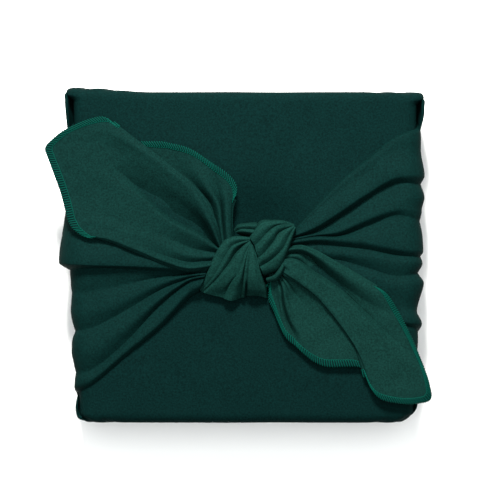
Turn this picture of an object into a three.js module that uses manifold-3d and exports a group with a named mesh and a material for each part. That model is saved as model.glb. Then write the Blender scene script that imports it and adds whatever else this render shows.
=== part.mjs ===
// A furoshiki wrap: one square crepe cloth folded round a flat square gift and closed with a reef
// knot.  It lies on its back.  Millimetres, +X to the right of the face, +Y up the face, +Z out of
// the face; the origin is the middle of the flat underside.
//
// The cloth is one piece, so the model is one solid: the filled parcel, the two side bands whose
// folds fan out of the knot and run round the sides, the knot's straps, and the two free tails.
import * as THREE from "three";
import { mergeVertices } from "three/addons/utils/BufferGeometryUtils.js";
import Module from "manifold-3d";

// ---------------------------------------------------------------- driving dimensions
const DEPTH = 50; // underside to smooth face
const TOP_Y = 97;
const BOTTOM_Y = -100;
const HALF_WIDTH = { left: { top: 103.5, bottom: 99.5 }, right: { top: 103.5, bottom: 101.5 } };
const FACE_ROUND = 7; // radius over the edges of the face
const BACK_ROUND = 5; // radius over the edges of the underside
const END_ROUND = 6; // radius over the top and bottom edges
const CROWN = 1.2; // rise of the face at its middle
const FLAP_KICK = 3; // the top edge stands this much higher at its left end
const CLOTH = 2; // a sheet with its hem or the air in its fold
const ROLL = 1.3; // half the width of a folded edge
const SUNK = 2.5; // how deep the bands and the knot reach into the parcel
const SIDE_DROP = DEPTH - FACE_ROUND - BACK_ROUND; // the flat of the side, between its two rolls

// ---------------------------------------------------------------- fold tables
// One row for each fold line, from one free edge to the other.  `is` says what the line is:
// a rim (a folded free edge), a crest (round top), a crease (sharp bottom) or smooth.

// Side bands.  Stations: root (at the knot), near, far, edge (where the side begins) and back
// (where the side ends).  x is the distance from the middle, h the height over the parcel.
const BAND_LEFT = [
  { is: "rim", root: [14, 12, 5], near: [50, 40, 2.2], far: [84, 63, 2], edge: [76, 2.2], back: 93 },
  { is: "crest", root: [16, 9, 7], near: [53, 30, 3.5], far: [86, 50, 3], edge: [60, 3], back: 78 },
  { is: "smooth", root: [18, 5, 7], near: [56, 14, 3], far: [88, 24, 3.5], edge: [26, 5.5], back: 34 },
  { is: "crest", root: [22, -6, 8], near: [58, -4, 5.5], far: [89, -2, 6], edge: [-3, 8.5], back: -2 },
  { is: "crease", root: [24, -11, 6], near: [57, -9.6, 1.5], far: [89, -8, 1], edge: [-10, 1.6], back: -12 },
  { is: "crest", root: [26, -11.5, 8], near: [59, -17, 3.5], far: [87, -27, 3], edge: [-30, 3], back: -36 },
  { is: "smooth", root: [28, -12.5, 8], near: [58, -24, 4], far: [84, -36, 4], edge: [-41, 4.2], back: -48 },
  { is: "crease", root: [29, -13.5, 5.5], near: [60, -27.5, 1.2], far: [86, -41, 1.5], edge: [-46, 2.2], back: -53 },
  { is: "crest", root: [30, -14.5, 8], near: [60, -34, 4], far: [86, -50, 3], edge: [-53, 3.6], back: -60 },
  { is: "crease", root: [30.5, -15.5, 5.5], near: [58, -38, 1.2], far: [82, -61, 0.8], edge: [-68, 1.2], back: -74 },
  { is: "crest", root: [30.5, -17.5, 8.5], near: [54, -41, 4.2], far: [82, -66, 2.8], edge: [-77, 2], back: -88 },
  { is: "rim", root: [28.5, -22, 6], near: [57, -49.5, 3], far: [84, -71, 2.4], edge: [-84, 2.2], back: -95 },
];
const BAND_RIGHT = [
  { is: "rim", root: [31, 17, 5], near: [56, 43.8, 2.2], far: [85, 67, 2], edge: [77.5, 1.8], back: 93 },
  { is: "smooth", root: [31.5, 15, 6.5], near: [57, 35, 3.2], far: [87, 57, 3], edge: [62, 2.6], back: 76 },
  { is: "crest", root: [32, 12.6, 7], near: [57, 25.5, 5], far: [88, 45, 4.6], edge: [46, 4.6], back: 54 },
  { is: "crease", root: [32, 10.6, 5], near: [57, 21.5, 1.2], far: [88, 40.8, 1.6], edge: [40, 3], back: 47 },
  { is: "crest", root: [32.5, 9.8, 6.5], near: [60, 17, 3.8], far: [86, 29, 4], edge: [33, 5], back: 39 },
  { is: "crease", root: [32.5, 9, 5.5], near: [60, 12.6, 1.6], far: [85, 22.5, 2.4], edge: [22, 2.6], back: 26 },
  { is: "crest", root: [32, 8, 8], near: [60, 10, 4.6], far: [88, 7, 4], edge: [2.5, 5], back: 3 },
  { is: "crease", root: [32, 5.5, 6], near: [62, 6, 2.4], far: [86, 1, 1.8], edge: [-2.5, 3.2], back: -3 },
  { is: "crest", root: [31, 2, 7], near: [60, -4, 4], far: [86, -11, 3.4], edge: [-17, 5], back: -20 },
  { is: "smooth", root: [30, -2, 6], near: [58, -18, 3], far: [84, -30, 2.2], edge: [-36, 1], back: -42 },
  { is: "crest", root: [29, -6, 6], near: [58, -26, 3], far: [84, -37, 2.4], edge: [-43, 3], back: -52 },
  { is: "rim", root: [27, -12, 5], near: [56, -36, 2.4], far: [82, -52, 2], edge: [-60, 1.6], back: -74 },
];

// Tails and knot.  Stations: root, near, far and end, each x, y and height over the face.
const TAIL_LEFT_FRONT = [
  { is: "rim", root: [-24, -10.5, 7], near: [-41, -7.6, 6], far: [-64, 1, 6], end: [-94.8, 10.8, 6] },
  { is: "crest", root: [-22, -7, 10], near: [-40, -4, 8], far: [-65, 5, 7.5], end: [-100, 14.6, 6.5] },
  { is: "crease", root: [-20, -1, 9.5], near: [-38, 3.2, 7], far: [-67, 14, 6.5], end: [-103.4, 18, 6] },
  { is: "crest", root: [-19, 3, 12], near: [-36, 10, 10], far: [-70, 24, 7.2], end: [-108.5, 28, 5.5] },
  { is: "smooth", root: [-19, 5, 11.5], near: [-37, 14.5, 9], far: [-72, 36, 6.6], end: [-119.4, 63.9, 3.5] },
  { is: "crease", root: [-18.5, 6.5, 9.5], near: [-38.5, 19, 6.5], far: [-66, 42, 5.6], end: [-104, 77, 4.5] },
  { is: "smooth", root: [-17.5, 8, 11], near: [-31, 25, 8.5], far: [-54, 49, 7], end: [-92.5, 81.8, 5] },
  { is: "crest", root: [-16.5, 9.5, 13], near: [-24, 28, 12], far: [-44, 48.5, 9.5], end: [-87.6, 82.8, 5.5] },
  { is: "rim", root: [-15, 10.5, 11], near: [-20.8, 28, 10], far: [-41.2, 49.2, 8], end: [-82.8, 81, 5] },
];
const TAIL_LEFT_BACK = [
  { is: "smooth", root: [-17, 8, 8], near: [-28, 26, 4.5], far: [-50, 44, 4], end: [-72, 62, 3.5] },
  { is: "smooth", root: [-15.5, 9, 9], near: [-22, 30, 5.5], far: [-39, 50, 5], end: [-55, 68.2, 4] },
  { is: "smooth", root: [-14.5, 10, 8.5], near: [-18, 29, 4.5], far: [-27, 45, 4.6], end: [-33, 63.2, 4.5] },
  { is: "crest", root: [-13.6, 10.5, 10.5], near: [-15.6, 25, 8.5], far: [-19.5, 39, 7], end: [-21.8, 56.5, 5] },
  { is: "crease", root: [-12.6, 11, 7.5], near: [-13.6, 22, 4], far: [-14.4, 34, 4], end: [-13.2, 50.2, 4] },
  { is: "crest", root: [-10.8, 11.5, 9], near: [-11, 21, 7], far: [-10.4, 31, 6.4], end: [-7.6, 44.6, 5] },
  { is: "rim", root: [-8, 11.5, 6], near: [-7.8, 18.6, 4.5], far: [-7.6, 26, 4], end: [-4.6, 34, 4] },
];
const TAIL_RIGHT_FRONT = [
  { is: "rim", root: [27, 5, 9], near: [42, 2.4, 8], far: [60, -7.4, 7], end: [78.6, -18.6, 6] },
  { is: "crest", root: [27, 3.6, 12], near: [41.4, 0.6, 10.5], far: [59.5, -9.8, 9], end: [87, -26.6, 7] },
  { is: "crease", root: [26.4, 0.6, 7], near: [40.5, -3.6, 5], far: [60, -15, 6], end: [92, -36, 6] },
  { is: "crease", root: [26, -2, 9], near: [45, -13.2, 5.5], far: [71.4, -31.5, 4.8], end: [108, -69, 5] },
  { is: "smooth", root: [25, -6, 12], near: [37, -17, 10], far: [64, -44, 7.5], end: [112, -84.5, 5] },
  { is: "crest", root: [23, -10, 12.5], near: [34, -17.5, 11], far: [55, -45.5, 9], end: [88, -87.6, 6.5] },
  { is: "rim", root: [21.5, -11.5, 10], near: [32, -17.6, 9], far: [53, -46, 7.5], end: [71.8, -72.4, 6] },
];
const TAIL_RIGHT_BACK = [
  { is: "smooth", root: [24, -11, 8], near: [38, -22, 5], far: [60, -46, 4.5], end: [76, -66, 4] },
  { is: "smooth", root: [23.6, -12, 9], near: [33, -24, 6], far: [50, -46, 5], end: [63, -66, 4.5] },
  { is: "crest", root: [23, -13, 10], near: [28, -26, 7.5], far: [39, -46, 6], end: [48, -66.6, 5] },
  { is: "crease", root: [21.4, -14, 6.5], near: [22.8, -27, 3.6], far: [28, -42, 3.4], end: [37, -61, 4] },
  { is: "crest", root: [20, -14.5, 9.5], near: [20.5, -24, 7], far: [22.4, -36, 5.6], end: [26.6, -50.5, 4.6] },
  { is: "crease", root: [18.4, -14.5, 7], near: [18.6, -21, 5.2], far: [19.2, -28, 4.8], end: [20.4, -38, 4.2] },
  { is: "rim", root: [15.6, -14.5, 6], near: [15.4, -18, 5], far: [15.6, -22, 4.6], end: [17.4, -33.6, 4] },
];
// The knot's upper strap fans from its tip at the right; the lower one fans from the middle down.
const KNOT_UPPER = [
  { is: "rim", root: [27, 19.4, 8], near: [20, 21.8, 11], far: [10, 21.4, 11], end: [1.5, 12, 8] },
  { is: "crest", root: [27.6, 18.8, 12], near: [20, 19.8, 19], far: [11.5, 18, 21], end: [3, 9.6, 17] },
  { is: "crease", root: [28, 18.4, 11], near: [19.2, 17.8, 18], far: [13.2, 13.6, 20.5], end: [4.4, 6, 17] },
  { is: "crest", root: [28.4, 18, 13], near: [20.6, 16.8, 21], far: [13.6, 10.6, 24.5], end: [6, 2.6, 20] },
  { is: "crease", root: [28.6, 17.6, 12], near: [21.4, 15, 20], far: [14, 7, 23], end: [7.4, -0.6, 19] },
  { is: "crest", root: [28.9, 17, 13.5], near: [23, 11.6, 22], far: [16.6, 3, 24], end: [9, -5, 20] },
  { is: "crease", root: [29.2, 16.4, 12], near: [24.2, 8.4, 19.5], far: [19.6, 1.4, 21], end: [11, -9, 17] },
  { is: "crest", root: [29.8, 16, 12], near: [26, 7.4, 18], far: [21, -3, 18], end: [12.6, -12.6, 13] },
  { is: "rim", root: [30.8, 16, 8], near: [28.4, 7, 9], far: [24, -4.4, 8], end: [14.6, -16.4, 6] },
];
const KNOT_LOWER = [
  { is: "rim", root: [2, 11.6, 9], near: [-12.4, 10, 9], far: [-21, -3, 8], end: [-28, -21.4, 5] },
  { is: "crest", root: [2.4, 10, 16], near: [-9.6, 7.6, 16], far: [-18, -4, 14], end: [-26, -21.8, 8] },
  { is: "crease", root: [2.8, 8.4, 13], near: [-5.6, 5.4, 12.5], far: [-14, -3, 14], end: [-23.4, -22.6, 8] },
  { is: "crest", root: [3, 7.8, 17], near: [-4.8, 2.4, 18.5], far: [-12.6, -7, 17], end: [-20, -23.8, 9] },
  { is: "crease", root: [3.2, 7, 16], near: [-4, 0.4, 17], far: [-10.4, -8, 16], end: [-15.4, -25.4, 8.4] },
  { is: "crest", root: [3.6, 6.4, 18], near: [-2, -1, 20], far: [-6, -10, 18.5], end: [-9, -27, 9] },
  { is: "crease", root: [4, 5.8, 17], near: [0.2, -2.4, 18.4], far: [-0.8, -11, 16], end: [-0.6, -25, 7] },
  { is: "crest", root: [4.6, 5.4, 18.5], near: [4, -4, 20], far: [5.4, -12, 18], end: [6, -24, 9.5] },
  { is: "rim", root: [6, 4.8, 15], near: [9, -5, 14], far: [12, -13.4, 10], end: [13.6, -25.4, 5] },
];
const KNOT_BACK = [
  { is: "rim", root: [-6.6, 14, 5], near: [-5.4, 18.4, 6], far: [0.6, 20.4, 6.6], end: [8, 20.4, 7] },
  { is: "crest", root: [-5.4, 13.4, 9], near: [-3.6, 16.2, 12], far: [1.6, 17.4, 13], end: [8, 17, 13] },
  { is: "rim", root: [-4, 11, 6], near: [-1.6, 12.6, 9], far: [2.6, 12.6, 10], end: [8, 12, 10] },
];
// Corner ears: the band's own cloth standing clear of the flap at the top corners, as a pocket.
// Each row is a place along the ear, seen from above, with the height of its lip.
const EAR = [
  { x: 103.4, y: 67, lip: 42 },
  { x: 106.4, y: 75, lip: 46 },
  { x: 108, y: 84, lip: 48 },
  { x: 107.4, y: 91.5, lip: 48 },
  { x: 104, y: 95.6, lip: 47.5 },
  { x: 98, y: 96.4, lip: 46 },
];
const EAR_THICK = 1.5;
const EAR_FOOT = 6; // height at which the ear lies against the parcel again

// ---------------------------------------------------------------- curves and grids
const SPAN_STEPS = 4; // steps between two stations along a fold
const FOLD_STEPS = 2; // steps between two folds
const ROLL_STEPS = 3; // steps round the parcel's top and bottom edges
const FACE_STEPS = 10; // steps up the parcel's face

const mix = (a, b, t) => a + (b - a) * t;

// Cubic piece from a to b that leaves along `leave` and arrives along `arrive`.
function cubic(a, b, leave, arrive, t) {
  const u = 1 - t;
  return new THREE.Vector3()
    .addScaledVector(a, u * u * (1 + 2 * t))
    .addScaledVector(b, t * t * (3 - 2 * t))
    .addScaledVector(leave, t * u * u)
    .addScaledVector(arrive, -t * t * u);
}

// Curve through points.  At each it runs parallel to the chord of its neighbours; at a crest it
// runs level, and at a crease or a rim it breaks.  A heading is as long, in plan, as its span.
function curve(points, steps, kinds = []) {
  const last = points.length - 1;
  const plan = (a, b) => Math.hypot(b.x - a.x, b.y - a.y);
  const heading = (k, side) => {
    const sharp = kinds[k] === "crease" || kinds[k] === "rim";
    const from = sharp && side > 0 ? k : Math.max(k - 1, 0);
    const to = sharp && side < 0 ? k : Math.min(k + 1, last);
    const chord = points[to].clone().sub(points[from]);
    if (kinds[k] === "crest") chord.z = 0;
    return chord.multiplyScalar(plan(points[k], points[k + side]) / plan(points[from], points[to]));
  };
  const out = [];
  for (let k = 0; k < last; k++) {
    const leave = heading(k, 1);
    const arrive = heading(k + 1, -1);
    for (let s = 0; s < steps; s++) {
      out.push(cubic(points[k], points[k + 1], leave, arrive, s / steps));
    }
  }
  out.push(points[last].clone());
  return out;
}

// Grid of points [along][across] through a table of fold lines.
function loft(lines, kinds) {
  const folds = lines.map((line) => curve(line, SPAN_STEPS));
  return folds[0].map((_, j) => curve(folds.map((fold) => fold[j]), FOLD_STEPS, kinds));
}

// A rim is two lines: the top of the rolled edge, set in square to it, and its foot on the edge.
function withRims(lines, kinds, foot) {
  const out = { lines: [...lines], kinds: [...kinds] };
  for (const [at, next] of [[0, 1], [lines.length - 1, lines.length - 2]]) {
    if (kinds[at] !== "rim") continue;
    const edge = lines[at];
    const square = edge.map((_, j) => {
      const run = edge[Math.min(j + 1, edge.length - 1)].clone().sub(edge[Math.max(j - 1, 0)]);
      return new THREE.Vector3(-run.y, run.x, 0).normalize();
    });
    const toNext = edge.map((p, j) => lines[next][j].clone().sub(p).setZ(0));
    const side = Math.sign(toNext.reduce((sum, gap, j) => sum + gap.dot(square[j]), 0));
    const top = edge.map((p, j) => {
      const inset = Math.min(ROLL, 0.45 * toNext[j].length());
      return p.clone().addScaledVector(square[j], side * inset);
    });
    const low = edge.map((p) => p.clone().setZ(foot(p.z)));
    if (at === 0) {
      out.lines.splice(0, 1, low, top);
      out.kinds.splice(0, 1, "rim", "smooth");
    } else {
      out.lines.splice(-1, 1, top, low);
      out.kinds.splice(-1, 1, "smooth", "rim");
    }
  }
  return out;
}

// ---------------------------------------------------------------- solids
const wasm = await Module();
wasm.setup();

// Closed solid from vertices and triangles, turned so that its faces point outwards.
function solid(vertices, triangles) {
  let volume = 0;
  for (const [a, b, c] of triangles) {
    volume += vertices[a].dot(vertices[b].clone().cross(vertices[c]));
  }
  const facing = volume < 0 ? triangles.map(([a, b, c]) => [a, c, b]) : triangles;
  const geometry = new THREE.BufferGeometry()
    .setAttribute("position", new THREE.Float32BufferAttribute(vertices.flatMap((p) => p.toArray()), 3))
    .setIndex(facing.flat());
  const merged = mergeVertices(geometry, 1e-4);
  return new wasm.Manifold(
    new wasm.Mesh({
      numProp: 3,
      vertProperties: merged.attributes.position.array,
      triVerts: new Uint32Array(merged.index.array),
    }),
  );
}

// Solid between two grids of the same size.
function between(outer, inner) {
  const rows = outer.length;
  const columns = outer[0].length;
  const vertices = [...outer.flat(), ...inner.flat()];
  const at = (layer, j, i) => (layer * rows + j) * columns + i;
  const triangles = [];
  const quad = (a, b, c, d) => triangles.push([a, b, c], [a, c, d]);
  for (let j = 0; j < rows - 1; j++) {
    for (let i = 0; i < columns - 1; i++) {
      quad(at(0, j, i), at(0, j, i + 1), at(0, j + 1, i + 1), at(0, j + 1, i));
      quad(at(1, j, i), at(1, j + 1, i), at(1, j + 1, i + 1), at(1, j, i + 1));
    }
  }
  const rim = [];
  for (let i = 0; i < columns - 1; i++) rim.push([0, i]);
  for (let j = 0; j < rows - 1; j++) rim.push([j, columns - 1]);
  for (let i = columns - 1; i > 0; i--) rim.push([rows - 1, i]);
  for (let j = rows - 1; j > 0; j--) rim.push([j, 0]);
  rim.forEach(([j, i], n) => {
    const [nj, ni] = rim[(n + 1) % rim.length];
    quad(at(0, j, i), at(1, j, i), at(1, nj, ni), at(0, nj, ni));
  });
  return solid(vertices, triangles);
}

// ---------------------------------------------------------------- parcel
const halfWidth = (side, y) =>
  mix(HALF_WIDTH[side].bottom, HALF_WIDTH[side].top, (y - BOTTOM_Y) / (TOP_Y - BOTTOM_Y));

// Rise of the face: a low crown that dies out at the edges.
function crown(x, y, half) {
  const across = 1 - Math.min(1, (x / half) ** 2);
  const up = 1 - Math.min(1, (y / TOP_Y) ** 2);
  return CROWN * across * up;
}

// Point over the parcel at distance d from the middle, measured over the face, down the side and
// round under it, raised by h square to the cloth.
function wrap(side, d, y, h) {
  const half = halfWidth(side, y);
  const flat = half - FACE_ROUND;
  const past = Math.max(d - flat, 0);
  const turn = Math.min(past / FACE_ROUND, Math.PI / 2);
  const down = THREE.MathUtils.clamp(past - (FACE_ROUND * Math.PI) / 2, 0, SIDE_DROP);
  const under = Math.max(past - (FACE_ROUND * Math.PI) / 2 - SIDE_DROP, 0) / BACK_ROUND;
  const x = Math.min(d, flat) + (FACE_ROUND + h) * Math.sin(turn) - (BACK_ROUND + h) * (1 - Math.cos(under));
  const z =
    DEPTH - FACE_ROUND + (FACE_ROUND + h) * Math.cos(turn) - down - (BACK_ROUND + h) * Math.sin(under);
  return new THREE.Vector3(side === "left" ? -x : x, y, z + crown(x, y, half));
}
const edgeDistance = (side, y) => halfWidth(side, y) + FACE_ROUND * (Math.PI / 2 - 1);

// Half of a section of the parcel, from the middle of the face round the side to the middle of the
// underside, drawn in by `inset` all round.
function halfSection(side, y, inset) {
  const half = halfWidth(side, y) - inset;
  const top = DEPTH - inset;
  const points = [];
  const add = (x, z) => points.push([x, z + (z > DEPTH / 2 ? crown(x, y, half) : 0)]);
  for (let k = 0; k < 6; k++) add(((half - FACE_ROUND) * k) / 6, top);
  for (let k = 0; k <= 4; k++) {
    const a = (k * Math.PI) / 8;
    add(half - FACE_ROUND * (1 - Math.sin(a)), top - FACE_ROUND * (1 - Math.cos(a)));
  }
  for (let k = 0; k <= 3; k++) {
    const a = (k * Math.PI) / 6;
    add(half - BACK_ROUND * (1 - Math.cos(a)), inset + BACK_ROUND * (1 - Math.sin(a)));
  }
  for (let k = 3; k >= 0; k--) add(((half - BACK_ROUND) * k) / 4, inset);
  return points;
}

function parcel() {
  // Each station is a height up the face and how far its section is drawn in by the end's roll.
  const roll = [];
  for (let k = 0; k <= ROLL_STEPS; k++) {
    const a = (k * Math.PI) / 2 / ROLL_STEPS;
    roll.push([END_ROUND * (1 - Math.cos(a)), END_ROUND * (1 - Math.sin(a))]);
  }
  const stations = roll.map(([along, inset]) => [BOTTOM_Y + along, inset]);
  for (let k = 1; k < FACE_STEPS; k++) {
    stations.push([mix(BOTTOM_Y + END_ROUND, TOP_Y - END_ROUND, k / FACE_STEPS), 0]);
  }
  stations.push(...roll.reverse().map(([along, inset]) => [TOP_Y - along, inset]));
  const rings = stations.map(([y, inset]) => {
    const right = halfSection("right", y, inset);
    const left = halfSection("left", y, inset);
    const loop = [...right, ...left.slice(1, -1).reverse().map(([x, z]) => [-x, z])];
    return loop.map(([x, z]) => new THREE.Vector3(x, y + kick(x, y, z), z));
  });
  const size = rings[0].length;
  const vertices = rings.flat();
  const triangles = [];
  for (let j = 0; j < rings.length - 1; j++) {
    for (let i = 0; i < size; i++) {
      const n = (i + 1) % size;
      const [a, b] = [j * size + i, j * size + n];
      triangles.push([a, b, b + size], [a, b + size, a + size]);
    }
  }
  for (const [ring, flip] of [[0, true], [rings.length - 1, false]]) {
    const middle = vertices.length;
    vertices.push(new THREE.Vector3(0, rings[ring][0].y, DEPTH / 2));
    for (let i = 0; i < size; i++) {
      const [a, b] = [ring * size + i, ring * size + ((i + 1) % size)];
      triangles.push(flip ? [middle, b, a] : [middle, a, b]);
    }
  }
  return solid(vertices, triangles);
}

// The flap's left end stands a little higher than the rest of the top edge.
function kick(x, y, z) {
  const left = THREE.MathUtils.smoothstep(-x, 55, 100);
  const top = THREE.MathUtils.smoothstep(y, 60, TOP_Y);
  const face = THREE.MathUtils.smoothstep(z, 0, DEPTH);
  return FLAP_KICK * left * top * face;
}

// ---------------------------------------------------------------- bands, tails, knot, ears
// A band reaches down the side and round under it, where its folds die out.
function band(side, table) {
  const lines = table.map(({ root, near, far, edge: [y, h], back }) => {
    const edge = edgeDistance(side, y);
    return [
      new THREE.Vector3(...root),
      new THREE.Vector3(...near),
      new THREE.Vector3(...far),
      new THREE.Vector3(edge, y, h),
      new THREE.Vector3(edge + 0.6 * SIDE_DROP, mix(y, back, 0.6), mix(h, 0.8, 0.5)),
      new THREE.Vector3(edge + SIDE_DROP, back, 0.6),
      new THREE.Vector3(edge + SIDE_DROP + BACK_ROUND, back, -0.5),
    ];
  });
  const edged = withRims(lines, table.map(({ is }) => is), () => -0.6);
  const grid = loft(edged.lines, edged.kinds);
  const at = (lift) => grid.map((row) => row.map((p) => wrap(side, p.x, p.y, lift(p))));
  return between(at((p) => p.z), at(() => -SUNK));
}

function stationLines(table) {
  return table.map(({ root, near, far, end }) =>
    [root, near, far, end].map(([x, y, h]) => new THREE.Vector3(x, y, DEPTH + h)),
  );
}

// A free sheet: its fold lines set its upper side, and it is one cloth thick.
function sheet(table) {
  const lines = stationLines(table);
  const edged = withRims(lines, table.map(({ is }) => is), (z) => z - ROLL);
  const grid = loft(edged.lines, edged.kinds);
  return between(grid, grid.map((row) => row.map((p) => p.clone().setZ(p.z - CLOTH))));
}

// A strap of the knot, solid down into the parcel.
function strap(table) {
  const lines = stationLines(table);
  const edged = withRims(lines, table.map(({ is }) => is), () => DEPTH + 1);
  const grid = loft(edged.lines, edged.kinds);
  return between(grid, grid.map((row) => row.map((p) => p.clone().setZ(DEPTH - SUNK))));
}

// An ear leans out from the parcel's side at its foot to its lip.
function ear(side) {
  const sign = side === "left" ? -1 : 1;
  const lip = curve(EAR.map(({ x, y, lip: z }) => new THREE.Vector3(x, y, z)), 3);
  const wall = (inset) =>
    lip.map((p) =>
      [0, 0.5, 1].map((t) => {
        const foot = Math.min(p.x, halfWidth(side, p.y) - 0.5);
        const x = mix(foot, p.x, Math.sqrt(t)) - inset;
        const z = mix(EAR_FOOT, p.z, t);
        const y = p.y - 0.4 * inset;
        return new THREE.Vector3(sign * x, y + kick(sign * x, y, z), z);
      }),
    );
  return between(wall(0), wall(EAR_THICK));
}

const pieces = [
  parcel(),
  band("left", BAND_LEFT),
  band("right", BAND_RIGHT),
  ear("left"),
  ear("right"),
  sheet(TAIL_LEFT_BACK),
  sheet(TAIL_LEFT_FRONT),
  sheet(TAIL_RIGHT_BACK),
  sheet(TAIL_RIGHT_FRONT),
  strap(KNOT_BACK),
  strap(KNOT_LOWER),
  strap(KNOT_UPPER),
];
const joined = pieces.reduce((whole, piece) => whole.add(piece));
// Air shut in between the layers isn't a part of the shape: only the outer skin is kept.
const [cloth] = joined.decompose().sort((a, b) => b.volume() - a.volume());

function geometryOf(body) {
  const { vertProperties, triVerts, numProp } = body.getMesh();
  const position = new Float32Array((vertProperties.length / numProp) * 3);
  for (let v = 0; v < position.length / 3; v++) {
    position.set(vertProperties.subarray(v * numProp, v * numProp + 3), v * 3);
  }
  const geometry = new THREE.BufferGeometry()
    .setAttribute("position", new THREE.BufferAttribute(position, 3))
    .setIndex(new THREE.BufferAttribute(triVerts, 1));
  geometry.computeVertexNormals();
  return geometry;
}

const crepe = new THREE.MeshStandardMaterial({ color: 0x10383a, roughness: 0.9, metalness: 0 });
const furoshiki = new THREE.Mesh(geometryOf(cloth), crepe);
furoshiki.name = "furoshiki_cloth";

const group = new THREE.Group();
group.add(furoshiki);
export default group;
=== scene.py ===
"""Furoshiki wrap: one square crepe cloth folded round a flat square gift and closed with a reef knot.

Blender 4.5.  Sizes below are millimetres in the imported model's frame: +X to the right of the face,
+Y up the face, +Z out of the face, with the origin at the middle of the flat underside.  Only the
fold tables give places in pixels.  Meshes are written in metres.  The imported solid
`furoshiki_cloth` stands for the whole cloth, and the pieces made here replace it.
"""

import math

import bmesh
import bpy
import numpy as np
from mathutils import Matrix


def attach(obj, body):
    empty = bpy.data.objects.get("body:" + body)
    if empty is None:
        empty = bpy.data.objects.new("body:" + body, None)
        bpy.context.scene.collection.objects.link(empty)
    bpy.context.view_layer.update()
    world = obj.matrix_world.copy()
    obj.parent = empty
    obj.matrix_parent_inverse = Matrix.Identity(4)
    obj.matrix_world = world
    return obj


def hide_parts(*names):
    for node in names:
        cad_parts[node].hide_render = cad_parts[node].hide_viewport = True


bl_info = {
    "name": "Furoshiki wrap",
    "version": (1, 0, 0),
    "blender": (4, 5, 0),
    "location": "View3D > Sidebar > Furoshiki",
    "description": "Builds a gift wrapped in a knotted crepe cloth, with its overlocked hems",
    "category": "Add Mesh",
}

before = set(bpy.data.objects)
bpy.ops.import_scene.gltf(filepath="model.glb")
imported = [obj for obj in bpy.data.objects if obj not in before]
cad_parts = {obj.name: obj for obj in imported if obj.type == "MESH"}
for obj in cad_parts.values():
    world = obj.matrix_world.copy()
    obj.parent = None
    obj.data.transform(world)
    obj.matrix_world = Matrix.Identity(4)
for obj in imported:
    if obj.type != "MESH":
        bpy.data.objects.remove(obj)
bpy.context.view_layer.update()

NODE = "furoshiki_cloth"
BODY = "root"
MM = 0.001  # metres in a millimetre


def linear(code):
    """Linear red, green, blue and alpha of an sRGB hex code: each channel c becomes
    ((c + 0.055) / 1.055) ^ 2.4, or c / 12.92 where it is 0.04045 or less."""
    channels = [int(code[k : k + 2], 16) / 255 for k in (0, 2, 4)]
    return tuple(c / 12.92 if c <= 0.04045 else ((c + 0.055) / 1.055) ** 2.4 for c in channels) + (1.0,)


# ---------------------------------------------------------------- driving sizes
# A pair named _X, _Y or _Z says from where to where, in that direction, a shape grows from nothing.
DEPTH = 50.0  # underside to smooth face
TOP_Y, BOTTOM_Y = 98.2, -101.0
HALF_WIDTH = {"left": (99.5, 103.5), "right": (101.5, 103.5)}  # at the bottom and at the top
FACE_ROUND, BACK_ROUND, END_ROUND = 7.0, 5.0, 6.0  # radii over the edges of the face, back and ends
SIDE_DROP = DEPTH - FACE_ROUND - BACK_ROUND  # the flat of the side, between its two rolls
CROWN = 1.2  # rise of the face at its middle
PULL = 10.0  # depth of the hollow where the knot draws the cloth in
PULL_AT, PULL_SIZE = (8.0, 14.0), (26.0, 24.0)  # its middle and its half widths
FLAP_KICK = 3.0  # the top edge stands this much higher at its left end
KICK_X, KICK_Y = (55, 100), (60, TOP_Y)
FLAP_FLARE = 4.6  # how far the flap's two top corners reach out over the ears
FLARE_X, FLARE_Y, FLARE_Z = (88, 102), (91, 94), (34, 43)
FLARE_LEFT = 2.5  # the left corner flares this much higher up
FLAP_SQUARE = 0.8  # 0 leaves those corners as round as the end's roll, and 1 makes them square
SQUARE_X = (85, 95)
CORNER_CUT = 3.2  # how far the right bottom corner is drawn in
CUT_X, CUT_Y = (70, 102), (-93, -101)
TUCK_LEFT, TUCK_RIGHT = 0.9, 4.0  # widths of a tuck on an end face, to its path's left and right
TUCK_Y = (95, 98)
END_Y, FACE_Z = (90, 97), (DEPTH - 4, DEPTH - 0.5)  # for the ripples on the ends and on the face
ROLL = 1.3  # half the width of a folded edge
ROLL_SHARE = 0.45  # the most that it takes of the way to the next fold line
BAND_FOOT = 0.6  # depth of a band's rims in the parcel's cloth
BAND_DOWN, BAND_DROP = 0.6, 0.8  # share of the side's drop where a fold is halfway down to this height
BAND_LOW, BAND_TUCK = 0.6, 0.5  # height of the folds at the back's edge, and their depth under it
BAND_LOOSE = (0.6, 2.5)  # heights between which a band comes to ripple freely
EAR_FOOT, EAR_SET = 6.0, 0.5  # height of an ear's foot, and how deep it lies in the parcel's side
EAR_POCKET, EAR_INNER = 18.0, 1.0  # depth of the pocket inside an ear, and its set in from the foot
EAR_RISE = 1.5  # height of the pocket's cloth over the lip where the pocket has died out
EAR_FOLD, EAR_LIFT = 0.25, 0.5  # an ear's lip is folded in by this share of its lean, and this high
EAR_Y = (98, 92)
KNOT_FOOT, KNOT_LOOSE = DEPTH + 1, (DEPTH + 1, DEPTH + 6)  # heights of a strap's rims and ripples
BAND_REVERSE_AND_LIGHT = 0.15  # share of the paler colour on the bands: painted light, partly the cloth's paler other side

# Faint unevenness of each piece: the wavelength and share of the cloth's ripple in each layer.
WAVES = {
    "face": [(45, 1.0), (17, 0.4)],
    "ends": [(60, 0.5)],
    "band": [(22, 1.0), (9, 0.5)],
    "tail": [(26, 1.0), (10, 0.5)],
    "knot": [(12, 0.6), (6, 0.4)],
}

DOUBLE, SLIVER = 0.01 * MM, 0.005 * MM  # points this near are merged, and edges this short dissolved

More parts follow.
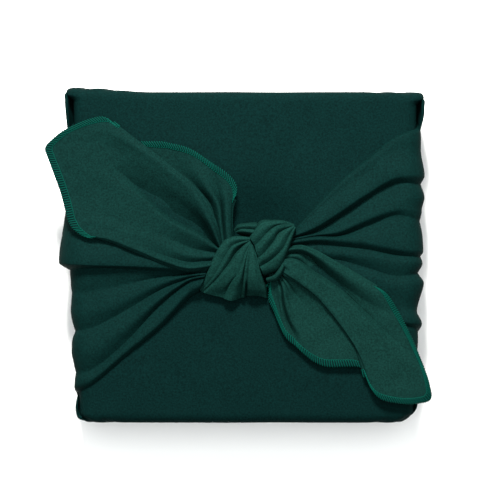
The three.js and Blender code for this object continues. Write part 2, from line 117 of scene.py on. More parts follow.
# Grid steps.
SECTION_STEPS = (70, 8, 24, 6, 50)  # half face, quarter circle, side, quarter circle, half underside
END_STEPS, ROLL_STEPS, FACE_STEPS = 15, 9, 118  # rings on an end face, over its roll, up the face
BAND_STEPS, TAIL_STEPS, KNOT_STEPS = (18, 11), (26, 8), (26, 10)  # in a span, and between two folds
LIP_STEPS, EAR_STEPS, POCKET_STEPS = 10, 30, 12  # in a span of the lip, up an ear, and down inside it

# ---------------------------------------------------------------- fold tables
# One row for each fold line, from one edge of the sheet to the other: what the line is, then its
# places from the knot outwards.  A rim is a folded edge that ends the sheet; at a fold the sheet turns
# under and goes on; a crest is a round top and a crease a sharp bottom.  A place is the column and row
# of a pixel of the view from straight above, and the height over the face in millimetres.  A band's
# row ends with the pixel row and the height at the parcel's edge, and y in millimetres at the back.
PIXEL = 0.6  # millimetres over the face
ORIGIN_COLUMN, ORIGIN_ROW = 245, 255  # the pixel over the frame's origin
DIGITS = 1  # places are rounded to tenths, of a pixel and of a millimetre
CREST_GAIN = 1.25  # a band's crests are made this much higher than its rows say

BAND_LEFT = [
    ("rim", [(222, 236, 5), (190, 210, 2.5), (162, 188, 2.2), (130, 165, 2),
      (105, 150, 2)], (128, 2.2), 93),
    ("crest", [(219, 242, 7), (190, 222, 3.5), (157, 205, 3.5), (128, 185, 3),
      (102, 172, 3)], (155, 3), 78),
    ("smooth", [(215, 250, 7.5), (189, 243, 4), (154, 234, 3), (125, 222, 3),
      (98, 215, 3.4)], (212, 5.5), 34),
    ("crest", [(209, 267, 7.5), (188, 268, 5.8), (160, 266.6, 5.8), (125, 265.2, 6.8),
      (92, 264.5, 8.4)], (262, 10.5), -2),
    ("crease", [(206, 272.4, 6.5), (187.5, 272.4, 4), (160, 270.8, 3.6), (125, 268.4, 4.6),
      (92, 267.4, 5)], (270, 3.6), -11),
    ("crease", [(206, 273, 6), (188, 273.6, 2.8), (160, 277, 1), (125, 284.5, 1.4),
      (92, 291, 2.2)], (293, 2.6), -26),
    ("crest", [(206, 273.8, 8), (188, 275.6, 5.5), (160, 283.5, 3.2), (125, 299.5, 3),
      (92, 311, 3)], (313, 4), -40),
    ("crease", [(205.6, 274.5, 6.5), (187.6, 278.4, 3.8), (160, 290, 1.2), (125, 311, 1),
      (92, 328, 1.2)], (332, 1.2), -54),
    ("smooth", [(205.4, 275.1, 7.6), (187.4, 279.3, 4.6), (160, 294, 2.8), (125, 317.5, 2.8),
      (92, 335, 2.8)], (339, 3), -60),
    ("crest", [(205.2, 275.8, 8), (187.6, 280.2, 5), (160, 298.4, 3.8), (125, 327.5, 3.8),
      (92, 349, 3.6)], (352, 3.8), -72),
    ("crease", [(204.6, 276.6, 6), (188.4, 281.6, 2.8), (160, 305, 0.9), (125, 343, 0.8),
      (92, 370, 1)], (373, 1.4), -80),
    ("crest", [(203, 282, 8), (190, 288.6, 5.6), (160, 321, 3.4), (125, 351, 2.8),
      (92, 378, 2.4)], (386, 2.2), -90),
    ("rim", [(200, 291.6, 5.5), (190, 298, 4), (160, 328.6, 2.4), (125, 357.5, 2),
      (92, 384.5, 1.8)], (392, 1.8), -95),
]
BAND_RIGHT = [
    ("rim", [(291, 232, 6), (315, 206, 3.4), (338.6, 182, 2.4), (367, 159, 2),
      (396, 136.5, 2)], (127, 1.8), 93),
    ("smooth", [(292, 234, 7.5), (315, 213, 4.4), (338.6, 192, 3.2), (367, 172, 2.8),
      (396, 152, 2.6)], (153, 2.4), 77),
    ("crest", [(292, 236.5, 8), (315, 226.5, 5.8), (338.6, 211.5, 5), (367, 192.5, 4.6),
      (396, 176.5, 4.6)], (175, 4.8), 55),
    ("crease", [(292, 238, 6.5), (315, 231.6, 2.4), (338.6, 218, 1), (367, 199, 1),
      (396, 183.6, 1.2)], (184, 2.6), 47),
    ("smooth", [(292, 238.7, 7), (315, 233.4, 3.4), (338.6, 224, 2.4), (367, 209, 2.6),
      (396, 197, 3.4)], (198, 5), 40),
    ("crest", [(292, 239.3, 7.5), (315, 235, 5), (338.6, 231.2, 4.2), (367, 218.6, 4.2),
      (396, 209, 3.6)], (211, 3.2), 31),
    ("crease", [(292, 240, 6.5), (315, 236.4, 3.6), (338.6, 235.8, 1), (367, 225.6, 1),
      (396, 215, 2)], (221, 2), 24),
    ("crest", [(291, 242, 9), (315, 239, 7), (338.6, 239.6, 5), (367, 242.4, 4.4),
      (396, 247.6, 4.2)], (251, 5), 3),
    ("crease", [(290, 246, 7.5), (315, 243.4, 4.6), (338.6, 246, 2.6), (367, 249.2, 2),
      (396, 255, 1.2)], (256.6, 3), -1),
    ("crest", [(289, 251, 8), (315, 251, 4.6), (338.6, 253.6, 3.6), (367, 257, 3.4),
      (396, 262.5, 3)], (263, 4), -6),
    ("crease", [(288, 255, 6.5), (315, 259, 3.4), (338.6, 260, 2.2), (367, 268, 1.6),
      (396, 276, 1.8)], (273, 1.2), -12),
    ("crest", [(288, 258, 7), (315, 268, 4), (338.6, 270, 3.6), (367, 277, 3.6),
      (396, 285.5, 3.2)], (284, 5), -21),
    ("smooth", [(286, 264, 6), (312, 282, 3.4), (336, 293, 3), (366, 300, 2.4),
      (396, 305, 2)], (311, 1), -38),
    ("crest", [(284, 268, 6), (308, 290, 3.2), (334, 306, 3), (364, 316, 2.6),
      (396, 320, 2.6)], (324.5, 3.8), -50),
    ("crease", [(282, 271, 5.5), (304, 298, 2.8), (330, 318, 2.2), (362, 326, 1.8),
      (396, 325, 1.2)], (329, 1.6), -56),
    ("rim", [(279, 275, 5), (298, 304, 2.6), (325, 326, 2.2), (358, 337, 2),
      (390, 345, 1.8)], (352, 1.6), -74),
]

TAIL_LEFT = [
    ("rim", [(220.3, 265.9, 9), (190, 271, 10.5), (168, 265.5, 9.6), (140, 254, 10.4),
      (114, 243, 11.4), (94.3, 237.3, 11.4)]),
    ("crest", [(220.1, 263.5, 11), (189.5, 267.5, 12), (167, 261.5, 10.6), (137, 249, 11),
      (108, 238, 11.5), (87, 237, 11.4)]),
    ("crease", [(220.3, 259.5, 8), (190, 262, 7.4), (166.5, 256.5, 7.6), (135, 244.5, 10.6),
      (104.5, 233.5, 11), (80, 233.5, 11)]),
    ("crest", [(220.9, 256.3, 11), (190.5, 255.5, 9.8), (166.5, 247, 8.6), (132, 235.5, 10.2),
      (100, 226, 10.2), (74.3, 228.6, 10)]),
    ("crease", [(221.5, 252.8, 8), (193, 249, 6.6), (168, 238, 7.4), (130, 225, 9), (96, 215, 8.8),
      (69.5, 221, 8.4)]),
    ("crest", [(219.5, 249.8, 11.6), (197, 235.4, 10.6), (169, 222.4, 8.8), (136.4, 195.4, 8),
      (95, 184, 7), (62, 193.5, 5.4)]),
    ("crease", [(219.6, 248.9, 8), (199.2, 231.4, 3.2), (172.6, 217.4, 2.4), (140.6, 189.6, 3.6),
      (105, 164, 6.4), (54, 171.5, 4.6)]),
    ("smooth", [(219.7, 248.5, 8.6), (201.4, 227.6, 5.6), (176.8, 211, 4.8), (144.4, 184.6, 5.8),
      (105.5, 157, 6.3), (48.4, 156.5, 3.8)]),
    ("smooth", [(219.8, 248.2, 9.4), (203, 224.6, 8), (181.4, 204.6, 8), (148.5, 179.5, 7.8),
      (106, 151.5, 6.2), (46, 148.5, 3.5)]),
    ("smooth", [(219.9, 247.9, 10.4), (204.6, 222.4, 11), (184.6, 200.2, 11), (152, 174, 9.8),
      (107.5, 146, 6.2), (50.5, 142.2, 3.7)]),
    ("smooth", [(220.1, 247.6, 11.4), (206.2, 221.4, 13.8), (188.5, 196.5, 13.4), (157, 168.6, 11.4),
      (113, 141, 7.2), (67, 129.6, 4.2)]),
    ("crest", [(220.6, 247.4, 12.6), (210.6, 221.6, 16.6), (195, 193.5, 15.4), (162, 165, 12.4),
      (122, 136.5, 8.6), (101.5, 117.6, 5)]),
    ("fold", [(222.4, 247.3, 10.4), (215.7, 220, 14.6), (199.5, 191.5, 13.8), (167, 163, 11.4),
      (130, 135, 7.8), (114.6, 123, 5)]),
    ("turn", [(220.8, 248.2, 7.6), (204, 226, 5.6), (184, 205, 4.6), (152, 174, 4.5), (123, 152, 4),
      (113, 137, 3.4)]),
    ("smooth", [(221.6, 248.3, 7.8), (212.5, 226, 6.2), (194, 199, 5), (168, 172, 4.8),
      (146, 151, 4.4), (136, 141.6, 4)]),
    ("crease", [(222.4, 248.2, 7), (216.6, 226.5, 3.6), (211, 205, 2.6), (196, 186, 2.8),
      (180, 167, 4), (163, 142.4, 4.4)]),
    ("crest", [(224, 248, 10), (221, 226, 8.8), (218.6, 206, 8), (205.5, 184, 7), (196, 165, 5.6),
      (189, 149.2, 4.8)]),
    ("crease", [(225.6, 247.8, 7.5), (223.6, 224, 3.8), (221.8, 206, 3), (218, 190, 3.6),
      (214.5, 176, 4.2), (212, 163.6, 4.3)]),
    ("crest", [(229.2, 247.4, 9.5), (227, 224, 8), (226.6, 208, 7), (226.4, 194, 6.2),
      (226.6, 183, 5.4), (226.8, 174, 4.8)]),
    ("smooth", [(231.8, 246.6, 8), (230.5, 225, 6.4), (230.6, 211, 5.8), (231.4, 200, 5.2),
      (233.5, 191, 4.8), (236, 186.2, 4.6)]),
    ("rim", [(233.8, 245.8, 6), (232.6, 227, 5), (232.6, 217, 4.6), (233.2, 209, 4.4),
      (234.6, 203.6, 4.2), (236.6, 200.2, 4)]),
]
TAIL_RIGHT = [
    ("rim", [(275.2, 251.7, 8.5), (299, 245.4, 8.6), (315, 250, 9), (335, 261.2, 9), (357, 273.6, 8),
      (377.5, 286, 6.4)]),
    ("crest", [(275.2, 253.1, 11.5), (298.5, 248.4, 11.5), (313.5, 254, 11.4), (333, 266.6, 11.5),
      (358, 282.5, 9.5), (388, 296.6, 7)]),
    ("crease", [(275.2, 255.5, 6.5), (297.5, 252.6, 6.8), (308.5, 256.4, 5), (327, 274, 4.4),
      (367, 302, 5.2), (400, 315.6, 6)]),
    ("smooth", [(275.5, 256.9, 7), (296.5, 256, 9), (310.5, 263.5, 5), (335, 280, 4.2),
      (377, 316, 4.8), (412, 340, 5.6)]),
    ("crease", [(275.8, 258.3, 9), (296.5, 259.3, 7.4), (315, 271.5, 4.6), (342, 289.4, 3.6),
      (385, 331, 4.2), (423.4, 367, 5)]),
    ("crest", [(275.5, 259.3, 11.5), (295, 262.4, 12), (311.6, 275.6, 10.4), (338, 294.6, 9),
      (381, 337, 7.4), (428.6, 384, 5.2)]),
    ("smooth", [(275.3, 260.5, 11.6), (293.6, 266, 12), (308.6, 279.4, 10.4), (333.4, 300, 9),
      (375.6, 344, 7.4), (430, 398, 4.8)]),
    ("smooth", [(275.1, 261.9, 12), (292.2, 269.4, 12.2), (305.6, 281.6, 10.6), (329, 301.6, 9.2),
      (368, 348, 7.6), (421, 402, 5)]),
    ("smooth", [(274.9, 263.2, 7.9), (291, 272, 12.4), (303.6, 283, 10.9), (326, 303, 9.4),
      (361, 350, 7.8), (402, 402.6, 5.6)]),
    ("crest", [(274.4, 264.9, 8.1), (288.6, 274.6, 12.2), (300.8, 283.4, 10.8), (322, 301.6, 9),
      (354.6, 345.4, 8), (378, 396.4, 6.4)]),
    ("fold", [(272.4, 265.7, 6.5), (284.6, 275.6, 11), (297.6, 283, 10), (319, 298.4, 8.6),
      (350, 336.4, 7.4), (363.8, 376, 5.8)]),
    ("turn", [(273.6, 264.9, 3.5), (288.6, 278, 8), (303, 290, 6.8), (328, 310, 5.6), (359, 352, 4.6),
      (370, 371, 3.4)]),
    ("smooth", [(273.8, 265.7, 3.5), (287.6, 280, 7.6), (299.6, 292, 6.2), (322, 312, 5),
      (347, 346, 4.6), (357, 366, 4.2)]),
    ("crease", [(273.9, 266.2, 2.9), (287, 281.4, 6), (295, 293.6, 4.8), (315, 317, 4.8),
      (336, 350, 4.6), (343, 365.8, 4.3)]),
    ("crest", [(273.8, 266.8, 5.5), (286, 283, 8.8), (293, 296.4, 6.8), (306, 320, 5.4),
      (321, 347, 4.8), (325.6, 365.6, 4.4)]),
    ("smooth", [(273.3, 267.1, 4.5), (284.8, 284, 7.8), (289.8, 300, 6.4), (299, 320, 5.8),
      (310, 342, 5.2), (313.8, 361, 4.5)]),
    ("crest", [(272.7, 267.4, 5.5), (282.8, 285, 9), (286, 303, 8), (291.6, 319.6, 6.8),
      (300.6, 336, 5.8), (305.6, 354.6, 4.7)]),
    ("crease", [(271.6, 267.7, 2.9), (281, 286, 6), (283.2, 303, 4), (287, 319, 2.8), (293.6, 334, 3),
      (296.4, 346.4, 4.4)]),
    ("crest", [(270.5, 267.9, 5.1), (279, 287, 8.4), (280.6, 302, 6.8), (283, 315.6, 5.6),
      (286, 327.4, 5), (286.6, 337.8, 4.7)]),
    ("smooth", [(269.4, 268.2, 4.1), (276.6, 285, 7.6), (277.6, 296, 6.4), (279, 306.4, 5.4),
      (280, 316, 4.8), (279.4, 324.4, 4.6)]),
    ("smooth", [(268.3, 268.4, 3.5), (274, 283, 7), (274.4, 291, 6.2), (274.8, 298.4, 5.4),
      (274.8, 304.6, 4.8), (273.6, 310, 4.6)]),
    ("smooth", [(267.3, 268.8, 2.9), (271.8, 282, 6.8), (271.8, 287, 6.2), (271.6, 291.6, 5.6),
      (270.8, 295.6, 5), (268.8, 299, 4.8)]),
    ("rim", [(266.1, 269, 2.1), (269.2, 279.6, 6.4), (269, 281.4, 6.2), (268.6, 283, 6),
      (268.2, 284.4, 5.8), (267.4, 286, 5.6)]),
]

# The knot's columns and rows are those of a closer view.  All its straps but the end are laid lower
# than their rows say, and the lower one falls away more and more towards the bottom.
KNOT_ZOOM = 12  # pixels of the closer view in one of the other
KNOT_COLUMN, KNOT_ROW = 185, 205  # the pixel at the closer view's top left corner
KNOT_SINK = {"knot_upper": 1.8, "knot_lower": 2.2, "knot_back": 1.8, "knot_end": 0}
FALL_ROW, FALL_ROWS = 268, 32  # where the lower strap starts to fall, and in how many pixels
FALL_LEFT, FALL_RIGHT, FALL_COLUMN = 2.6, 1.0, 215  # the fall left and right of a column
KNOT_UPPER = [
    ("rim", [(1300, 232, 10), (1180, 192, 12), (1050, 186, 13), (900, 200, 13), (770, 385, 12)]),
    ("crest", [(1303, 236, 12), (1170, 205, 15), (1040, 212, 16), (910, 250, 16), (785, 400, 14.5)]),
    ("smooth", [(1303, 238, 12), (1140, 225, 15.5), (1020, 250, 16.5), (900, 330, 16.5), (800, 430, 15)]),
    ("crease", [(1304, 240, 11.5), (1120, 238, 13.6), (1000, 320, 14.6), (905, 420, 14.6),
      (835, 490, 13.6)]),
    ("crest", [(1305, 243, 12.3), (1127, 254, 16), (1014, 336, 17.2), (920, 436, 17), (844, 508, 15.4)]),
    ("smooth", [(1305, 246, 12.3), (1128, 290, 15.8), (1030, 380, 17.2), (935, 490, 17.2),
      (855, 560, 15.6)]),
    ("crease", [(1305, 248, 11.8), (1130, 335, 13.6), (1060, 440, 14.4), (960, 560, 14.4),
      (880, 640, 13.4)]),
    ("crest", [(1308, 253, 12.5), (1142, 350, 16.2), (1074, 455, 17.8), (974, 575, 17.6),
      (864, 653, 15.6)]),
    ("smooth", [(1310, 256, 12.5), (1185, 365, 16.4), (1120, 480, 18), (1010, 605, 17.8),
      (878, 695, 15.6)]),
    ("crease", [(1312, 262, 12), (1240, 380, 13.6), (1170, 520, 15), (1055, 640, 15), (899, 740, 13.6)]),
    ("crest", [(1316, 269, 12.5), (1254, 396, 15.6), (1184, 538, 17.2), (1070, 660, 17), (911, 763, 14.8)]),
    ("smooth", [(1320, 275, 12), (1265, 430, 14), (1200, 600, 15), (1104, 749, 14.6), (929, 811, 13.4)]),
    ("rim", [(1325, 285, 9), (1278, 450, 9), (1224, 643, 9.6), (1145, 782, 10.6), (948, 857, 10.6)]),
]
KNOT_LOWER = [
    ("rim", [(775, 385, 12), (600, 376, 12), (460, 430, 12), (350, 600, 11), (270, 780, 9),
      (168, 1000, 6)]),
    ("crest", [(778, 400, 15), (605, 392, 15.5), (480, 448, 15.5), (368, 615, 14.5), (285, 800, 12.5),
      (175, 1012, 8.4)]),
    ("smooth", [(780, 412, 15.5), (620, 415, 16), (510, 475, 16), (410, 640, 15.2), (315, 830, 13),
      (185, 1022, 8.8)]),
    ("crease", [(782, 420, 14.6), (660, 450, 14.2), (560, 498, 14.4), (455, 660, 14.4),
      (345, 850, 12.6), (193, 1030, 8.6)]),
    ("crest", [(783, 424, 15), (668, 464, 15.8), (576, 516, 16.2), (485, 672, 15.6), (365, 862, 13.2),
      (202, 1038, 8.8)]),
    ("crease", [(784, 430, 13), (690, 490, 11), (610, 575, 12), (520, 712, 13.2), (392, 872, 12),
      (212, 1046, 8)]),
    ("crest", [(785, 440, 16), (707, 510, 17), (640, 600, 17.4), (548, 745, 16.6), (420, 900, 14.2),
      (240, 1056, 9.8)]),
    ("smooth", [(787, 444, 16), (720, 540, 17), (672, 650, 17.2), (600, 790, 16), (500, 950, 13.6),
      (350, 1085, 9.8)]),
    ("crease", [(788, 448, 15.6), (728, 560, 16.4), (685, 680, 16.4), (630, 830, 15.4),
      (545, 930, 12), (462, 1112, 8.2)]),
    ("crest", [(789, 452, 16), (734, 575, 17), (695, 700, 17.2), (645, 845, 16.4), (565, 945, 14),
      (485, 1128, 10.2)]),
    ("smooth", [(790, 455, 16), (738, 590, 17), (702, 740, 17), (668, 880, 16), (620, 985, 14),
      (560, 1146, 10.2)]),
    ("crease", [(792, 458, 15.2), (742, 600, 15), (716, 760, 14), (702, 880, 12.6), (690, 985, 10.6),
      (668, 1112, 6.6)]),
    ("crest", [(794, 462, 16), (752, 605, 17), (728, 765, 16.8), (716, 885, 15.6), (708, 985, 13.6),
      (700, 1104, 9)]),
    ("crease", [(796, 466, 15.8), (765, 620, 16.6), (752, 790, 16), (745, 900, 14), (738, 985, 8),
      (728, 1096, 4.4)]),
    ("crest", [(800, 470, 16.4), (785, 630, 17.6), (775, 790, 17.8), (768, 900, 16.6),
      (768, 1000, 14), (770, 1085, 9.6)]),
    ("smooth", [(806, 480, 16.4), (825, 640, 17.8), (835, 790, 18), (850, 910, 16.8), (868, 1010, 14),
      (880, 1082, 9.8)]),
    ("crest", [(815, 495, 15.6), (860, 640, 16.6), (890, 780, 16.4), (925, 910, 14.6),
      (955, 1010, 12), (970, 1112, 8)]),
    ("rim", [(822, 505, 13), (872, 640, 13), (905, 780, 12), (950, 900, 9), (985, 1000, 7),
      (992, 1122, 5)]),
]
KNOT_BACK = [
    ("rim", [(590, 300, 7), (635, 242, 9), (740, 222, 10), (860, 212, 10)]),
    ("crest", [(597, 308, 10), (645, 262, 13), (750, 250, 14), (860, 250, 14)]),
    ("crease", [(605, 318, 9.5), (672, 292, 12), (760, 290, 12.4), (850, 300, 12.6)]),
    ("crest", [(612, 326, 10), (685, 315, 13.5), (770, 322, 14), (840, 335, 14)]),
    ("rim", [(625, 338, 7), (690, 362, 8.5), (770, 376, 9), (830, 385, 9)]),
]
KNOT_END = [
    ("rim", [(1150, 700, 11), (1104, 780, 12), (1056, 838, 12), (972, 872, 9)]),
    ("crest", [(1172, 722, 14), (1122, 806, 14.4), (1068, 866, 13.4), (978, 895, 10.4)]),
    ("smooth", [(1186, 742, 12.6), (1138, 830, 13), (1080, 890, 12), (986, 914, 9)]),
    ("rim", [(1200, 768, 8), (1156, 862, 8), (1094, 922, 7.5), (998, 938, 5)]),
]
# Folds on the two end faces, where the cloth's corners were tucked in: straight runs through
# (distance from the middle, height), with the depth of the step.
END_FOLDS = [([(99, 47), (80, 26), (52, 4)], 1.0), ([(86, 48), (68, 30), (30, 12), (0, 8)], 0.7)]
# Corner ears: places along the lip of the pocket, as distance out from the parcel's side, y and height.
EARS = {
    "left_top": [(0, 66, 42), (3.4, 74, 45), (4.4, 83, 47), (4.8, 90, 47), (4.2, 94.6, 45), (-3, 96.4, 38)],
    "right_top": [(0, 70, 42), (2.6, 77, 45), (4.2, 84, 47), (4.4, 89, 47), (4, 93.4, 46), (-3, 95.4, 40)],
    "left_bottom": [(-0.4, -80, 36), (1.2, -86, 42), (2, -91, 45), (1.8, -95, 45), (0.2, -98.4, 44),
      (-6, -99.6, 44)],
    "right_bottom": [(-0.4, -78, 36), (1.4, -84, 42), (2, -88, 45), (1.5, -92, 45), (-1, -95.6, 44),
      (-7, -98, 44)],
}
# The overlock's section, from the needle line on top, out round the edge and back underneath: share
# of the hem's width in from the edge, millimetres past the edge, height over the cloth's surface, and
# which surface that is, from 1 on top to -1 underneath.
HEM_SECTION = [
    (1, 0, 0, 1), (0.97, 0, 0.2, 1), (0.6, 0, 0.3, 1), (0.25, 0, 0.35, 1), (0, 0, 0.35, 1),
    (0, 0.35, 0.2, 0.4), (0, 0.35, -0.2, -0.4),
    (0, 0, -0.35, -1), (0.3, 0, -0.3, -1), (0.7, 0, -0.25, -1), (1, 0, 0, -1),
]
STITCH_POINTS, STITCH_SIDES, CHAIN_SIDES = 15, 5, 6  # of one crossing thread, and of the needle line
STITCH_LIFT, STITCH_LEAN = 0.3, 0.35  # over the base, in threads, and along the edge, in stitches
CHAIN_THIN, CHAIN_SWELL = 0.16, 0.14  # radius of the needle line at a hole, and what it adds between
STITCH_TAPER, CHAIN_TAPER = 1 / 12, 0.25  # run of a tapered end: share of the thread, and millimetres

# Runs of the hem on each tail: whether it lies along the last fold line rather than across the folds'
# ends, and the millimetres left bare at its start and at its end.
HEM_RUNS = {"left": [(False, 3.5, 3.5)], "right": [(False, 3.5, 0), (True, 9, 0)]}

# The stage, in metres unless named otherwise.
SENSOR = 36.0  # width of the camera's sensor in its own millimetres
VIEW_X, VIEW_Y, VIEW_DEPTH = 3.0, 3.0, 20.0  # the view's middle in millimetres, and how far it sees
FLOOR_HALF = 6.0
LIGHTS = {  # place, aim, width and colour
    "key": ((-0.06, 0.72, 0.78), (0, 0, 0.04), 0.2, (1.0, 0.99, 0.96)),
    "top": ((0, 0, 1.2), (0, 0, 0), 0.9, (0.97, 0.99, 1.0)),
}
FILL_COLOUR = (0.95, 0.98, 1.0, 1.0)


# ---------------------------------------------------------------- settings
class FuroshikiCloth(bpy.types.PropertyGroup):
    thickness: bpy.props.FloatProperty(
        name="Thickness", description="How thick the crepe is", default=0.8 * MM, unit="LENGTH", precision=4
    )
    ripple: bpy.props.FloatProperty(
        name="Ripple", description="Height of the cloth's faint unevenness",
        default=0.35 * MM, unit="LENGTH", precision=4,
    )
    grain: bpy.props.FloatProperty(
        name="Grain", description="Width of one pebble of the crepe",
        default=1.0 * MM, unit="LENGTH", precision=4,
    )
    colour: bpy.props.FloatVectorProperty(
        name="Colour", description="Colour of the crepe's right side",
        default=linear("021312"), size=4, subtype="COLOR",
    )
    # The paler colour is partly the fainter dye on the cloth's other side and partly painted light, mixed in
    # to make the bands, tails and knot lighter than the face.
    reverse: bpy.props.FloatVectorProperty(
        name="Reverse", description="Colour of the crepe's paler reverse side",
        default=linear("07201c"), size=4, subtype="COLOR",
    )


# The hem is a little wider than a real one of 3.4 mm, and its stitches wider apart than real ones of
# about 1.1 mm, so that each stitch shows.
class FuroshikiHem(bpy.types.PropertyGroup):
    width: bpy.props.FloatProperty(
        name="Width", description="Width of the overlock", default=4.0 * MM, unit="LENGTH", precision=4
    )
    stitch: bpy.props.FloatProperty(
        name="Stitch", description="Distance between two stitches",
        default=1.5 * MM, unit="LENGTH", precision=4,
    )
    thread: bpy.props.FloatProperty(
        name="Thread", description="Diameter of the thread", default=0.62 * MM, unit="LENGTH", precision=4
    )
    colour: bpy.props.FloatVectorProperty(
        name="Colour", description="Colour of the thread", default=linear("023028"), size=4, subtype="COLOR"
    )


class FuroshikiStage(bpy.types.PropertyGroup):
    distance: bpy.props.FloatProperty(
        name="Distance", description="From the camera to the face of the parcel", default=1.65, unit="LENGTH"
    )
    view_width: bpy.props.FloatProperty(
        name="View width", description="Width of the view at the face", default=0.3, unit="LENGTH"
    )
    key_power: bpy.props.FloatProperty(
        name="Key light", description="Power of the soft light at the top of the view",
        default=43.0, unit="POWER",
    )
    top_power: bpy.props.FloatProperty(
        name="Top light", description="Power of the wide light straight above", default=12.0, unit="POWER"
    )
    fill: bpy.props.FloatProperty(
        name="Fill", description="Brightness of the light from all round", default=0.6, min=0.0
    )
    floor: bpy.props.FloatVectorProperty(
        name="Floor", description="Colour of the floor", default=linear("f4f4f2"), size=4, subtype="COLOR"
    )


# ---------------------------------------------------------------- places
def frame_x(column):
    """Millimetres along X of a pixel column."""
    return round((column - ORIGIN_COLUMN) * PIXEL, DIGITS)


def frame_y(row):
    """Millimetres along Y of a pixel row."""
    return round((ORIGIN_ROW - row) * PIXEL, DIGITS)


def band_rows(table):
    """A band's table in millimetres: at each place the distance over the face, y and height."""
    rows = []
    for kind, places, (edge_row, edge_height), back in table:
        gain = CREST_GAIN if kind == "crest" else 1
        folds = [(abs(frame_x(c)), frame_y(r), round(h * gain, DIGITS)) for c, r, h in places]
        rows.append((kind, folds, (frame_y(edge_row), edge_height), back))
    return rows


def tail_rows(table):
    """A tail's table in millimetres: at each place x, y and height."""
    return [(kind, [(frame_x(c), frame_y(r), h) for c, r, h in places]) for kind, places in table]


def knot_fall(name, column, row):
    """How far a strap lies under its table's height at a pixel: its sink and, on the lower strap, the
    fall of its side in proportion to the rows past the start."""
    side = FALL_LEFT if column < FALL_COLUMN else FALL_RIGHT
    fall = max(0, (row - FALL_ROW) / FALL_ROWS) * side
    return KNOT_SINK[name] + (fall if name == "knot_lower" else 0)


def knot_rows(name, table):
    """A strap's table in millimetres: at each place x, y and height."""
    rows = []
    for kind, places in table:
        folds = []
        for column, row, height in places:
            column = round(KNOT_COLUMN + column / KNOT_ZOOM, DIGITS)
            row = round(KNOT_ROW + row / KNOT_ZOOM, DIGITS)
            low = round(height - knot_fall(name, column, row), DIGITS)
            folds.append((frame_x(column), frame_y(row), low))
        rows.append((kind, folds))
    return rows


# ---------------------------------------------------------------- curves and grids
def unit(vectors):
    """Each vector over its length."""
    return vectors / np.maximum(np.linalg.norm(vectors, axis=-1, keepdims=True), 1e-9)


def smoothstep(low, high, value):
    """0 below low, 1 above high, and 3 t^2 - 2 t^3 between them."""
    t = np.clip((value - low) / (high - low), 0, 1)
    return t * t * (3 - 2 * t)


def curve(points, steps, kinds=None):
    """Cubic curves along the first axis of points.  At each point the curve runs parallel to the chord
    of its neighbours; at a crest it runs level, and at a crease or a rim it breaks.  A heading is as
    long as its span, but at most 3 chords, both measured in plan, or in space at a turn."""
    last = len(points) - 1
    kinds = np.array(kinds if kinds is not None else ["smooth"] * (last + 1))
    at = np.arange(last + 1)
    sharp = np.isin(kinds, ("crease", "rim"))
    shape = (-1,) + (1,) * (points.ndim - 1)

    def heading(side):
        start = np.where(sharp & (side > 0), at, np.maximum(at - 1, 0))
        stop = np.where(sharp & (side < 0), at, np.minimum(at + 1, last))
        chord = points[stop] - points[start]
        beyond = points[np.clip(at + side, 0, last)] - points
        used = np.where((kinds == "turn").reshape(shape), 1.0, np.array([1.0, 1.0, 0.0]))
        span = np.linalg.norm(beyond * used, axis=-1)
        size = span / np.maximum(np.linalg.norm(chord * used, axis=-1), 1e-6)
        chord = np.where((kinds == "crest").reshape(shape), chord * [1, 1, 0], chord)
        return chord * np.minimum(size, 3.0)[..., None]

    leave, arrive = heading(1)[:-1, None], heading(-1)[1:, None]
    t = (np.arange(steps) / steps).reshape((1, -1) + (1,) * (points.ndim - 1))
    a, b = points[:-1, None], points[1:, None]
    u = 1 - t
    spans = u * u * (1 + 2 * t) * a + t * t * (3 - 2 * t) * b + t * u * u * leave - t * t * u * arrive
    return np.concatenate([spans.reshape((-1,) + points.shape[1:]), points[-1:]])


def with_edges(lines, kinds, foot):
    """Fold lines [row][station] with their rims and folds rounded.  A rim becomes a foot line on the
    edge and a top line set in square to it.  A fold becomes a top line, an edge line half a roll
    lower, and an under line a whole roll lower, from where the sheet goes on."""
    rows, names = [], []
    for k, kind in enumerate(kinds):
        if kind not in ("rim", "fold"):
            rows.append(lines[k])
            names.append(kind)
            continue
        edge = lines[k]
        inner = lines[k + 1] if k == 0 else lines[k - 1]
        run = np.gradient(edge[:, :2], axis=0)
        square = unit(np.stack([-run[:, 1], run[:, 0]], axis=1))
        gap = inner[:, :2] - edge[:, :2]
        side = np.sign(np.sum(gap * square))
        inset = np.minimum(ROLL, ROLL_SHARE * np.linalg.norm(gap, axis=1))[:, None]
        top, low = edge.copy(), edge.copy()
        top[:, :2] += side * inset * square
        if kind == "fold":
            low[:, 2] -= ROLL
            under = top.copy()
            under[:, 2] -= 2 * ROLL
            rows += [top, low, under]
            names += ["smooth", "turn", "smooth"]
        else:
            low[:, 2] = foot(edge[:, 2])
            rows += [low, top] if k == 0 else [top, low]
            names += ["rim", "smooth"] if k == 0 else ["smooth", "rim"]
    return np.array(rows), names


def loft(lines, kinds, along, across):
    """Grid of points [along][across] through fold lines [row][station]: each line is first a curve
    through its stations, and then each cross-section is a curve through the lines."""
    folds = np.swapaxes(curve(np.swapaxes(lines, 0, 1), along), 0, 1)
    return np.swapaxes(curve(folds, across, kinds), 0, 1)


def ripple(x, y, piece, seed):
    """Faint unevenness, up to about 1: for each layer of the piece's waves, its share of twice the
    mean of twelve plane waves of about its wavelength, each with its own heading and phase."""
    height = 0
    for k, (size, share) in enumerate(WAVES[piece]):
        draw = np.random.default_rng(seed + k)
        turn, phase = draw.uniform(0, 2 * math.pi, (2, 12))
        length = size * draw.uniform(0.7, 1.6, 12)
        travel = [x * math.cos(a) + y * math.sin(a) for a in turn]
        waves = [np.sin(2 * math.pi * d / w + p) for d, w, p in zip(travel, length, phase)]
        height = height + share * 2.0 * np.mean(waves, axis=0)
    return height


